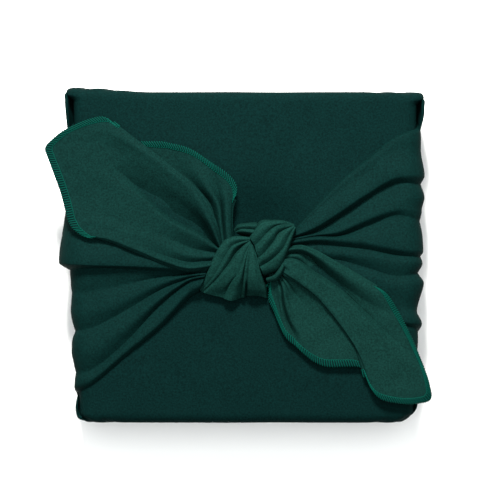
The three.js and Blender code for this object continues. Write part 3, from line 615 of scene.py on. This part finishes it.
def trough(x, y, path, left, right):
    """1 on a path of straight runs in plan and falling off as exp(-(distance / width)^2), with one
    width on the path's left and another on its right."""
    path = np.array(path, float)
    nearest = np.full(x.shape, 1e9)
    hand = np.ones(x.shape)
    for start, stop in zip(path[:-1], path[1:]):
        run = stop - start
        t = np.clip(((x - start[0]) * run[0] + (y - start[1]) * run[1]) / (run @ run), 0, 1)
        dx, dy = x - start[0] - t * run[0], y - start[1] - t * run[1]
        distance = np.hypot(dx, dy)
        hand = np.where(distance < nearest, np.sign(run[0] * dy - run[1] * dx), hand)
        nearest = np.minimum(distance, nearest)
    return np.exp(-((nearest / np.where(hand > 0, left, right)) ** 2))


# ---------------------------------------------------------------- meshes
def grid_faces(index, around=False):
    """Quads of a grid of vertex numbers [..., row, column]; around joins the last column to the first."""
    if around:
        index = np.concatenate([index, index[..., :1]], axis=-1)
    corners = (index[..., :-1, :-1], index[..., :-1, 1:], index[..., 1:, 1:], index[..., 1:, :-1])
    return np.stack(corners, axis=-1).reshape(-1, 4)


def build(name, patches, materials, thickness=0.0, closed=False):
    """One object from patches, each (points [..., row, column, 3] in millimetres, around, number of its
    material).  Doubles are merged, so seams and poles close.  A sheet gets its thickness from
    Solidify, and a closed piece has its faces turned outwards."""
    points, faces, numbers, total = [], [], [], 0
    for grid, around, number in patches:
        count = grid[..., 0].size
        index = np.arange(total, total + count).reshape(grid.shape[:-1])
        faces.append(grid_faces(index, around))
        points.append(grid.reshape(-1, 3))
        numbers.append(np.full(len(faces[-1]), number))
        total += count
    mesh = bpy.data.meshes.new(name)
    mesh.from_pydata((np.concatenate(points) * MM).tolist(), [], np.concatenate(faces).tolist())
    for material in materials:
        mesh.materials.append(material)
    mesh.polygons.foreach_set("material_index", np.concatenate(numbers).astype(np.int32))
    work = bmesh.new()
    work.from_mesh(mesh)
    bmesh.ops.remove_doubles(work, verts=work.verts, dist=DOUBLE)
    bmesh.ops.dissolve_degenerate(work, edges=work.edges, dist=SLIVER)
    if closed:
        bmesh.ops.recalc_face_normals(work, faces=work.faces)
    work.to_mesh(mesh)
    work.free()
    mesh.shade_smooth()
    piece = bpy.data.objects.new(name, mesh)
    bpy.context.scene.collection.objects.link(piece)
    if thickness:
        solidify = piece.modifiers.new("cloth thickness", "SOLIDIFY")
        solidify.thickness = thickness
        solidify.offset = 0.0
    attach(piece, BODY)
    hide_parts(NODE)
    return piece


def tubes(paths, up, radius, sides):
    """Tubes [..., point, side] round paths [..., point]: each ring stands square to its path, turned so
    that it starts along up.  The radius may differ from point to point."""
    run = unit(np.gradient(paths, axis=-2))
    beside = unit(np.cross(run, up))
    above = np.cross(beside, run)
    angle = (np.arange(sides) * 2 * math.pi / sides)[:, None]
    ring = np.cos(angle) * beside[..., None, :] + np.sin(angle) * above[..., None, :]
    size = np.broadcast_to(radius, paths.shape[:-1])[..., None, None]
    return paths[..., None, :] + size * ring


# ---------------------------------------------------------------- materials
def add_node(tree, kind, inputs=None, **settings):
    """Adds a node with its settings.  An input given a socket is linked to it, and else set."""
    made = tree.nodes.new(kind)
    for key, value in settings.items():
        setattr(made, key, value)
    for key, value in (inputs or {}).items():
        if isinstance(value, bpy.types.NodeSocket):
            tree.links.new(value, made.inputs[key])
        else:
            made.inputs[key].default_value = value
    return made


def new_material(name):
    """A material of that name and its node tree, empty, or None for the tree if it was made before."""
    material = bpy.data.materials.get(name)
    if material:
        return material, None
    material = bpy.data.materials.new(name)
    material.use_nodes = True
    material.node_tree.nodes.clear()
    return material, material.node_tree


def dyed_fibre(tree, colour, tone, spread, shades, roughness, noise, relief, strength):
    """Ends the tree of a dyed textile.  As the tone goes from the first to the second of spread, the
    colour is multiplied by the first to the second of shades.  The noise raises the surface by
    relief times strength, and there is hardly any gloss."""
    spans = {"From Min": spread[0], "From Max": spread[1], "To Min": shades[0], "To Max": shades[1]}
    shade = add_node(tree, "ShaderNodeMapRange", {"Value": tone} | spans).outputs["Result"]
    dyed = add_node(tree, "ShaderNodeVectorMath", {0: colour, "Scale": shade}, operation="SCALE")
    bump = add_node(tree, "ShaderNodeBump", {"Height": noise, "Distance": relief, "Strength": strength})
    look = {"Base Color": dyed.outputs["Vector"], "Normal": bump.outputs["Normal"], "Roughness": roughness}
    look |= {"IOR": 1.5, "Specular IOR Level": 0.015}
    surface = add_node(tree, "ShaderNodeBsdfPrincipled", look)
    add_node(tree, "ShaderNodeOutputMaterial", {"Surface": surface.outputs["BSDF"]})


def polyester_crepe(cloth, reverse=0.0):
    """Polyester crepe, woven from hard-twisted yarn that shrinks into a fine pebble.  The eye gets a
    matt cloth with hardly any gloss, a grain, drawn coarser than the real one so that it shows, and
    faint patches about 9 mm wide where the dye took more.  The given share mixes in the second, paler
    colour, which stands for the fainter dye on the cloth's other side and is also painted light: it
    makes the bands, tails and knot lighter than the face, as if they caught more light."""
    right, reverse_and_light_colour = np.array(cloth.colour)[:3], np.array(cloth.reverse)[:3]
    colour = tuple((1 - reverse) * right + reverse * reverse_and_light_colour)
    # Each share makes its own copy of the crepe, and a higher share is a paler copy carrying more painted
    # light.
    material, tree = new_material(f"polyester_crepe_{round(100 * reverse)}")
    if tree is None:
        return material
    place = {"Vector": add_node(tree, "ShaderNodeTexCoord").outputs["Object"], "Roughness": 0.6}
    pebble = add_node(tree, "ShaderNodeTexNoise", place | {"Scale": 1 / cloth.grain, "Detail": 2.0})
    patch = add_node(tree, "ShaderNodeTexNoise", place | {"Scale": 1 / (9 * MM), "Detail": 3.0})
    mixed = {0: patch.outputs["Fac"], 1: 0.12, 2: pebble.outputs["Fac"]}
    tone = add_node(tree, "ShaderNodeMath", mixed, operation="MULTIPLY_ADD").outputs[0]
    grain = {"noise": pebble.outputs["Fac"], "relief": 0.2 * MM, "strength": 0.6}
    dyed_fibre(tree, colour, tone, spread=(0.3, 0.82), shades=(0.55, 1.45), roughness=0.8, **grain)
    return material


def overlock_thread(hem):
    """Textured polyester overlock thread: brighter than the crepe, with its fibres a little uneven.
    The eye gets a soft, matt line of stitches."""
    material, tree = new_material("overlock_thread")
    if tree is None:
        return material
    colour = tuple(hem.colour)[:3]
    place = {"Vector": add_node(tree, "ShaderNodeTexCoord").outputs["Object"], "Roughness": 0.5}
    fibre = add_node(tree, "ShaderNodeTexNoise", place | {"Scale": 1 / (0.5 * MM), "Detail": 2.0})
    twist = {"noise": fibre.outputs["Fac"], "relief": 0.1 * MM, "strength": 0.5}
    dyed_fibre(tree, colour, twist["noise"], spread=(0.3, 0.7), shades=(0.75, 1.2), roughness=0.65, **twist)
    return material


def painted_board(stage):
    """Matt white painted board, which gives the eye an even pale ground."""
    material, tree = new_material("painted_board")
    if tree is None:
        return material
    look = {"Base Color": tuple(stage.floor), "Roughness": 0.9, "Specular IOR Level": 0.1}
    surface = add_node(tree, "ShaderNodeBsdfPrincipled", look)
    add_node(tree, "ShaderNodeOutputMaterial", {"Surface": surface.outputs["BSDF"]})
    return material


# ---------------------------------------------------------------- parcel
def half_width(side, y):
    """Half the parcel's width on one side, at height y of the face."""
    bottom, top = HALF_WIDTH[side]
    return bottom + (top - bottom) * (y - BOTTOM_Y) / (TOP_Y - BOTTOM_Y)


def crown(x, y, half):
    """Rise of the face: CROWN (1 - (x / half)^2) (1 - (y / top)^2), never below 0, less PULL times
    exp(-(distance from the hollow's middle over its half widths)^2)."""
    rise = CROWN * (1 - np.minimum(1, (x / half) ** 2)) * (1 - np.minimum(1, (y / TOP_Y) ** 2))
    drawn = ((x - PULL_AT[0]) / PULL_SIZE[0]) ** 2 + ((y - PULL_AT[1]) / PULL_SIZE[1]) ** 2
    return rise - PULL * np.exp(-drawn)


def kick(x, y, z):
    """Extra height of the flap's left end along y: three smoothsteps multiplied."""
    return FLAP_KICK * smoothstep(*KICK_X, -x) * smoothstep(*KICK_Y, y) * smoothstep(0, DEPTH, z)


def wrap(side, d, y, h):
    """Point at distance d from the middle, measured over the face, down the side and round under it,
    raised by h square to the cloth."""
    half = half_width(side, y)
    flat = half - FACE_ROUND
    past = np.maximum(d - flat, 0)
    turn = np.minimum(past / FACE_ROUND, math.pi / 2)
    down = np.clip(past - FACE_ROUND * math.pi / 2, 0, SIDE_DROP)
    under = np.maximum(past - FACE_ROUND * math.pi / 2 - SIDE_DROP, 0) / BACK_ROUND
    x = np.minimum(d, flat) + (FACE_ROUND + h) * np.sin(turn) - (BACK_ROUND + h) * (1 - np.cos(under))
    z = DEPTH - FACE_ROUND + (FACE_ROUND + h) * np.cos(turn) - down - (BACK_ROUND + h) * np.sin(under)
    x = -x if side == "left" else x
    return np.stack([x, y, z + np.where(down > 0, 0, crown(x, y, half))], axis=-1)


def section(side, y, inset):
    """Half of the parcel's section, from the middle of the face round the side to the middle of the
    underside, drawn in by inset all round.  Its five runs are the face, a quarter circle, the side,
    a quarter circle and the underside."""
    small = np.minimum(1, (DEPTH - 2 * inset) / (DEPTH - 2 * END_ROUND))
    face_round, back_round = FACE_ROUND * small, BACK_ROUND * small
    half = half_width(side, y) - inset
    top, bottom = DEPTH - inset, inset
    face, over, wall, round_under, underside = [np.arange(n) / n for n in SECTION_STEPS]
    over, round_under = over * math.pi / 2, round_under * math.pi / 2
    underside = np.append(underside, 1.0)
    one = np.ones_like
    x = [
        (half - face_round) * face,
        half - face_round * (1 - np.sin(over)),
        half * one(wall),
        half - back_round * (1 - np.cos(round_under)),
        (half - back_round) * (1 - underside),
    ]
    z = [
        top * one(face),
        top - face_round * (1 - np.cos(over)),
        top - face_round + (bottom + back_round - top + face_round) * wall,
        bottom + back_round * (1 - np.sin(round_under)),
        bottom * one(underside),
    ]
    x, z = np.concatenate(x), np.concatenate(z)
    x = -x if side == "left" else x
    return x, z + np.where(z > DEPTH / 2, crown(x, y, half), 0)


def parcel_grid():
    """Rings of the parcel [station][round], from the middle of the bottom end, over the bottom roll, up
    the face and over the top roll to the middle of the top end, where each ring has shrunk to a
    line."""
    shut = np.linspace(DEPTH / 2, END_ROUND, END_STEPS + 1)[:-1]
    angle = np.linspace(0, math.pi / 2, ROLL_STEPS)
    along = np.concatenate([np.zeros(END_STEPS), END_ROUND * (1 - np.cos(angle))])
    inset = np.concatenate([shut, END_ROUND * (1 - np.sin(angle))])
    middle = np.linspace(BOTTOM_Y + END_ROUND, TOP_Y - END_ROUND, FACE_STEPS)[1:-1]
    stations = np.concatenate([BOTTOM_Y + along, middle, TOP_Y - along[::-1]])
    insets = np.concatenate([inset, np.zeros(len(middle)), inset[::-1]])
    rings = []
    for y, drawn in zip(stations, insets):
        right, left = section("right", y, drawn), section("left", y, drawn)
        x = np.concatenate([right[0], left[0][-2:0:-1]])
        z = np.concatenate([right[1], left[1][-2:0:-1]])
        rings.append(np.stack([x, np.full(x.shape, y), z], axis=1))
    return np.array(rings)


def shape_parcel(grid, ripple_height):
    """Moves the grid's points in place, each step from where the last one left them: the flap's kick,
    its flared and squared top corners, the bottom corner's cut, ripples on the face, and tucks and
    ripples on the two ends.  The square follows the end's roll, r (1 - (1 - s^2)^(1/2)), where s
    is the share of the roll's radius r that the point has gone along y."""
    x, y, z = np.moveaxis(grid, -1, 0)
    share = np.clip((y - TOP_Y + END_ROUND) / END_ROUND, 0, 1)
    y += kick(x, y, z)
    high = smoothstep(*FLARE_Z, z)
    flare = smoothstep(*FLARE_X, np.abs(x)) * smoothstep(*FLARE_Y, y - FLARE_LEFT * (x < 0)) * high
    x += np.sign(x) * FLAP_FLARE * flare
    square = END_ROUND * (1 - np.sqrt(1 - share**2)) * smoothstep(*SQUARE_X, np.abs(x)) * high
    x += np.sign(x) * FLAP_SQUARE * square
    x -= CORNER_CUT * smoothstep(*CUT_X, x) * smoothstep(*CUT_Y, y)
    z += ripple_height * ripple(x, y, "face", 3) * smoothstep(*FACE_Z, z)
    for path, depth in END_FOLDS:
        tuck = trough(np.abs(x), z, path, TUCK_LEFT, TUCK_RIGHT) * smoothstep(*TUCK_Y, np.abs(y))
        y -= np.sign(y) * depth * tuck
    y += np.sign(y) * ripple_height * ripple(x, z, "ends", 5) * smoothstep(*END_Y, np.abs(y))


class FUROSHIKI_OT_parcel(bpy.types.Operator):
    """Wraps the cloth flat round the gift"""

    bl_idname = "furoshiki.parcel"
    bl_label = "Parcel"

    def execute(self, context):
        cloth = context.scene.furoshiki_cloth
        grid = parcel_grid()
        shape_parcel(grid, cloth.ripple / MM)
        piece = build("parcel_cloth", [(grid, True, 0)], [polyester_crepe(cloth)], closed=True)
        return {"FINISHED"}


# ---------------------------------------------------------------- bands
def band_grid(side, table, ripple_height, seed):
    """Band [along][across]: its fold lines run from the knot over the face, down the side and round
    under it, where they die out.  The folds are laid out flat as distance, y and height, and the
    whole is then wrapped round the parcel."""
    lines = []
    for _, places, (y, h), back in table:
        edge = half_width(side, y) + FACE_ROUND * (math.pi / 2 - 1)  # where the side becomes flat
        end = edge + SIDE_DROP
        down = (edge + BAND_DOWN * SIDE_DROP, y + BAND_DOWN * (back - y), (h + BAND_DROP) / 2)
        below = (end + BACK_ROUND, back, -BAND_TUCK)
        lines.append([*places, (edge, y, h), down, (end, back, BAND_LOW), below])
    kinds = [row[0] for row in table]
    rows, kinds = with_edges(np.array(lines, float), kinds, lambda h: np.full(h.shape, -BAND_FOOT))
    d, y, h = np.moveaxis(loft(rows, kinds, *BAND_STEPS), -1, 0)
    h = h + smoothstep(*BAND_LOOSE, h) * ripple_height * ripple(d, y, "band", seed)
    return wrap(side, d, y, h)


class FUROSHIKI_OT_bands(bpy.types.Operator):
    """Pleats the two side bands that run from the knot round the parcel's sides"""

    bl_idname = "furoshiki.bands"
    bl_label = "Side bands"

    def execute(self, context):
        cloth = context.scene.furoshiki_cloth
        for side, table, flat, seed in (
            ("left", BAND_LEFT, (0.135, 0.155), 11),
            ("right", BAND_RIGHT, (0.13, 0.13), 21),
        ):
            patch = band_grid(side, band_rows(table), cloth.ripple / MM, seed), False, 0
            # The bands get a little of the paler colour, as painted light that lightens them against the
            # face.
            piece = build("band_" + side, [patch], [polyester_crepe(cloth, BAND_REVERSE_AND_LIGHT)], cloth.thickness)
        return {"FINISHED"}


# ---------------------------------------------------------------- ears
def ear_grid(side, table):
    """Ear [lip][height]: from the foot on the parcel's side it leans out to the lip as the square root
    of the height, and folds over into the pocket as the cube of the depth.  The pocket's depth dies
    out at the parcel's end."""
    out, y, top = np.moveaxis(curve(np.array(table, float), LIP_STEPS)[:, None], -1, 0)
    wall = half_width(side, y)
    out = wall + out
    foot = np.minimum(out, wall - EAR_SET)
    t = np.linspace(0, 1, EAR_STEPS)[None]
    inner = np.linspace(0, 1, POCKET_STEPS)[None, 1:]
    start = out - EAR_FOLD * (out - foot)
    depth = EAR_POCKET * smoothstep(*EAR_Y, np.abs(y)) - EAR_RISE
    inside = start + (foot - EAR_INNER - start) * inner**3
    x = np.concatenate([foot + (out - foot) * np.sqrt(t), inside], axis=1)
    z = np.concatenate([EAR_FOOT + (top - EAR_FOOT) * t, top + EAR_LIFT - depth * inner], axis=1)
    y = y + 0 * x
    x = -x if side == "left" else x
    return np.stack([x, y + kick(x, y, z), z], axis=-1)


class FUROSHIKI_OT_ears(bpy.types.Operator):
    """Opens the small pockets of cloth at the parcel's four corners"""

    bl_idname = "furoshiki.ears"
    bl_label = "Corner ears"

    def execute(self, context):
        cloth = context.scene.furoshiki_cloth
        for side in ("left", "right"):
            for end, flat in (("top", (0.042, 0.045)), ("bottom", (0.028, 0.045))):
                patch = ear_grid(side, EARS[f"{side}_{end}"]), False, 0
                piece = build(f"ear_{side}_{end}", [patch], [polyester_crepe(cloth)], cloth.thickness)
        return {"FINISHED"}


# ---------------------------------------------------------------- tails
def over_face(table):
    """Fold lines [row][station] in space, and their kinds, from a table with heights over the face."""
    return np.array([row[1] for row in table], float) + (0, 0, DEPTH), [row[0] for row in table]


def tail_grid(table, ripple_height, seed):
    """Tail [along][across]: its fold lines run from the knot to the hem."""
    grid = loft(*with_edges(*over_face(table), lambda z: z - ROLL), *TAIL_STEPS)
    x, y, z = np.moveaxis(grid, -1, 0)
    z += ripple_height * ripple(x, y, "tail", seed)
    return grid


def normals(grid):
    """Unit normals of a grid [row][column]: the cross product of its two headings."""
    return unit(np.cross(np.gradient(grid, axis=0), np.gradient(grid, axis=1)))


def sample(grid, row, column):
    """The grid's points, or normals, at fractional rows and columns, by linear mixing."""
    row = np.clip(row, 0, grid.shape[0] - 1.001)
    column = np.clip(column, 0, grid.shape[1] - 1.001)
    j, i = row.astype(int), column.astype(int)
    s, t = (row - j)[..., None], (column - i)[..., None]
    low = grid[j, i] * (1 - t) + grid[j, i + 1] * t
    high = grid[j + 1, i] * (1 - t) + grid[j + 1, i + 1] * t
    return low * (1 - s) + high * s


def overlock(grid, hem, thickness, start, stop):
    """Patches of an overlocked hem along the last row of a grid, from start millimetres along it to
    stop millimetres short of its end.  A base wraps the edge in the hem's section, threads cross it
    one stitch apart, and a needle line of short stitches runs along its inner side, each stitch
    swelling as |sin| of the travel along it."""
    width, stitch, thread = hem.width / MM, hem.stitch / MM, hem.thread / MM
    half = thickness / MM / 2
    last = len(grid) - 1.0
    length = np.append(0, np.cumsum(np.linalg.norm(np.diff(grid[-1], axis=0), axis=1)))
    spacing = np.maximum(np.linalg.norm(grid[-1] - grid[-5], axis=-1) / 4, 0.05)  # of the last rows
    face = normals(grid)
    if face[..., 2].mean() < 0:
        face = -face

    def at(travel, inward, lift):
        """Point at a travel along the edge, set inwards over the cloth and lifted off it, and the
        normal there.  A negative inward goes out past the edge."""
        travel, inward, lift = np.broadcast_arrays(travel, inward, lift)
        column = np.interp(travel, length, np.arange(len(length)))
        row = last - np.maximum(inward, 0) / np.interp(column, np.arange(len(spacing)), spacing)
        base, up = sample(grid, row, column), sample(face, row, column)
        rim, inside = (sample(grid, np.full(row.shape, line), column) for line in (last, last - 3))
        out = unit(rim - inside)
        return base + np.maximum(-inward, 0)[..., None] * out + lift[..., None] * up, up

    share, past, height, surface = np.array(HEM_SECTION, float).T
    inward, lift = width * share - past, height + half * surface
    end = length[-1] - stop
    base, _ = at(np.arange(start, end, stitch / 2)[:, None], inward, lift)

    # Each thread follows the base's section a little higher.
    u = np.linspace(0, 1, STITCH_POINTS)
    place, corners = u * (len(inward) - 1), np.arange(len(inward))
    across, over = np.interp(place, corners, inward), np.interp(place, corners, lift)
    over = over + np.sign(over) * thread * STITCH_LIFT
    stitches = np.arange(start + stitch / 2, end, stitch)[:, None]
    paths, up = at(stitches + stitch * STITCH_LEAN * np.sin(math.pi * u), across, over)
    radius = thread / 2 * np.minimum(1, np.minimum(u, 1 - u) / STITCH_TAPER)
    threads = tubes(paths, up, radius, STITCH_SIDES)

    fine = np.arange(start, end, stitch / 6)
    swell = CHAIN_THIN + CHAIN_SWELL * np.abs(np.sin(math.pi * fine / stitch))
    line, up = at(fine, width, half + CHAIN_THIN)
    swell *= np.minimum(1, np.minimum(fine - start, fine[-1] - fine) / CHAIN_TAPER)
    return [(base, False, 1), (threads, True, 0), (tubes(line, up, swell, CHAIN_SIDES), True, 0)]


class FUROSHIKI_OT_tails(bpy.types.Operator):
    """Lays the two hemmed tails out from the knot"""

    bl_idname = "furoshiki.tails"
    bl_label = "Tails"

    def execute(self, context):
        cloth, hem = context.scene.furoshiki_cloth, context.scene.furoshiki_hem
        # Each tail mixes in the paler colour: partly the cloth's paler other side showing, partly painted
        # light that makes the tail lighter than the face.
        for side, table, flat, area, reverse, seed in (
            ("left", TAIL_LEFT, (0.11, 0.11), 0.0105, 0.4, 31),
            ("right", TAIL_RIGHT, (0.11, 0.1), 0.007, 0.8, 41),
        ):
            grid = tail_grid(tail_rows(table), cloth.ripple / MM, seed)
            crepe = polyester_crepe(cloth, reverse)
            piece = build("tail_" + side, [(grid, False, 0)], [crepe], cloth.thickness)
            edges = []
            for turned, start, stop in HEM_RUNS[side]:
                run = np.swapaxes(grid, 0, 1) if turned else grid
                edges += overlock(run, hem, cloth.thickness, start, stop)
            thread = build("hem_" + side, edges, [overlock_thread(hem), polyester_crepe(cloth)], closed=True)
        return {"FINISHED"}


# ---------------------------------------------------------------- knot
def strap_grid(table, ripple_height, seed):
    """Strap [along][across]: its folds run through the knot, and its rims reach down to the face."""
    grid = loft(*with_edges(*over_face(table), lambda z: np.full(z.shape, KNOT_FOOT)), *KNOT_STEPS)
    x, y, z = np.moveaxis(grid, -1, 0)
    z += smoothstep(*KNOT_LOOSE, z) * ripple_height * ripple(x, y, "knot", seed)
    return grid


class FUROSHIKI_OT_knot(bpy.types.Operator):
    """Ties the straps of the reef knot"""

    bl_idname = "furoshiki.knot"
    bl_label = "Knot"

    def execute(self, context):
        cloth = context.scene.furoshiki_cloth
        for name, table, flat, seed in (
            ("knot_upper", KNOT_UPPER, (0.045, 0.04), 51),
            ("knot_lower", KNOT_LOWER, (0.05, 0.045), 61),
            ("knot_back", KNOT_BACK, (0.018, 0.021), 71),
            ("knot_end", KNOT_END, (0.024, 0.016), 81),
        ):
            grid = strap_grid(knot_rows(name, table), cloth.ripple / MM, seed)
            # The knot takes the paler colour whole: painted light that makes it lighter than the face, along
            # with the cloth's paler other side.
            piece = build(name, [(grid, False, 0)], [polyester_crepe(cloth, 1.0)], cloth.thickness)
        return {"FINISHED"}


# ---------------------------------------------------------------- stage
def area_light(name, place, aim, size, power, colour):
    """A square soft light at a place, turned towards its aim: tilted from straight down by the angle
    between them, and turned about the upright by the heading, less a quarter turn."""
    data = bpy.data.lights.new(name, "AREA")
    data.shape, data.size, data.energy, data.color = "SQUARE", size, power, colour
    light = bpy.data.objects.new(name, data)
    light.location = place
    x, y, z = np.array(aim, float) - place
    light.rotation_euler = (math.atan2(math.hypot(x, y), -z), 0, math.atan2(y, x) - math.pi / 2)
    light.visible_camera = False
    bpy.context.scene.collection.objects.link(light)


class FUROSHIKI_OT_stage(bpy.types.Operator):
    """Sets the camera straight above the face, the pale floor and the two soft lights"""

    bl_idname = "furoshiki.stage"
    bl_label = "Stage"

    def execute(self, context):
        stage = context.scene.furoshiki_stage
        camera_data = bpy.data.cameras.new("overhead_camera")
        camera_data.sensor_width = SENSOR
        camera_data.lens = SENSOR * stage.distance / stage.view_width
        camera_data.clip_end = VIEW_DEPTH
        camera = bpy.data.objects.new("overhead_camera", camera_data)
        camera.location = (VIEW_X * MM, VIEW_Y * MM, DEPTH * MM + stage.distance)
        context.scene.collection.objects.link(camera)
        context.scene.camera = camera

        mesh = bpy.data.meshes.new("floor")
        corners = [(sx * FLOOR_HALF, sy * FLOOR_HALF, 0) for sx, sy in ((-1, -1), (1, -1), (1, 1), (-1, 1))]
        mesh.from_pydata(corners, [], [(0, 1, 2, 3)])
        mesh.materials.append(painted_board(stage))
        floor = bpy.data.objects.new("floor", mesh)
        context.scene.collection.objects.link(floor)

        for name, (place, aim, size, colour) in LIGHTS.items():
            area_light(name + "_light", place, aim, size, getattr(stage, name + "_power"), colour)
        world = bpy.data.worlds.new("studio")
        world.use_nodes = True
        background = world.node_tree.nodes["Background"]
        background.inputs["Color"].default_value = FILL_COLOUR
        background.inputs["Strength"].default_value = stage.fill
        context.scene.world = world
        context.scene.view_settings.view_transform = "Standard"
        return {"FINISHED"}


# ---------------------------------------------------------------- panel and run
class FUROSHIKI_PT_panel(bpy.types.Panel):
    """Lists the sizes, the colours and the steps"""

    bl_idname = "FUROSHIKI_PT_panel"
    bl_label = "Furoshiki wrap"
    bl_space_type = "VIEW_3D"
    bl_region_type = "UI"
    bl_category = "Furoshiki"

    def draw(self, context):
        for name in SETTINGS:
            box = self.layout.box()
            box.label(text=name.partition("_")[2].capitalize())
            settings = getattr(context.scene, name)
            for key in settings.__annotations__:
                box.prop(settings, key)
        for operator in OPERATORS:
            self.layout.operator(operator.bl_idname)


SETTINGS = {
    "furoshiki_cloth": FuroshikiCloth,
    "furoshiki_hem": FuroshikiHem,
    "furoshiki_stage": FuroshikiStage,
}
OPERATORS = (
    FUROSHIKI_OT_stage,
    FUROSHIKI_OT_parcel,
    FUROSHIKI_OT_bands,
    FUROSHIKI_OT_ears,
    FUROSHIKI_OT_tails,
    FUROSHIKI_OT_knot,
)


def register():
    for made in (*SETTINGS.values(), *OPERATORS, FUROSHIKI_PT_panel):
        bpy.utils.register_class(made)
    for name, group in SETTINGS.items():
        setattr(bpy.types.Scene, name, bpy.props.PointerProperty(type=group))


def unregister():
    for name in SETTINGS:
        delattr(bpy.types.Scene, name)
    for made in (FUROSHIKI_PT_panel, *OPERATORS, *SETTINGS.values()):
        bpy.utils.unregister_class(made)


def main():
    """Makes the whole part."""
    register()
    bpy.ops.furoshiki.stage()
    bpy.ops.furoshiki.parcel()
    bpy.ops.furoshiki.bands()
    bpy.ops.furoshiki.ears()
    bpy.ops.furoshiki.tails()
    bpy.ops.furoshiki.knot()


if __name__ == "__main__":
    main()
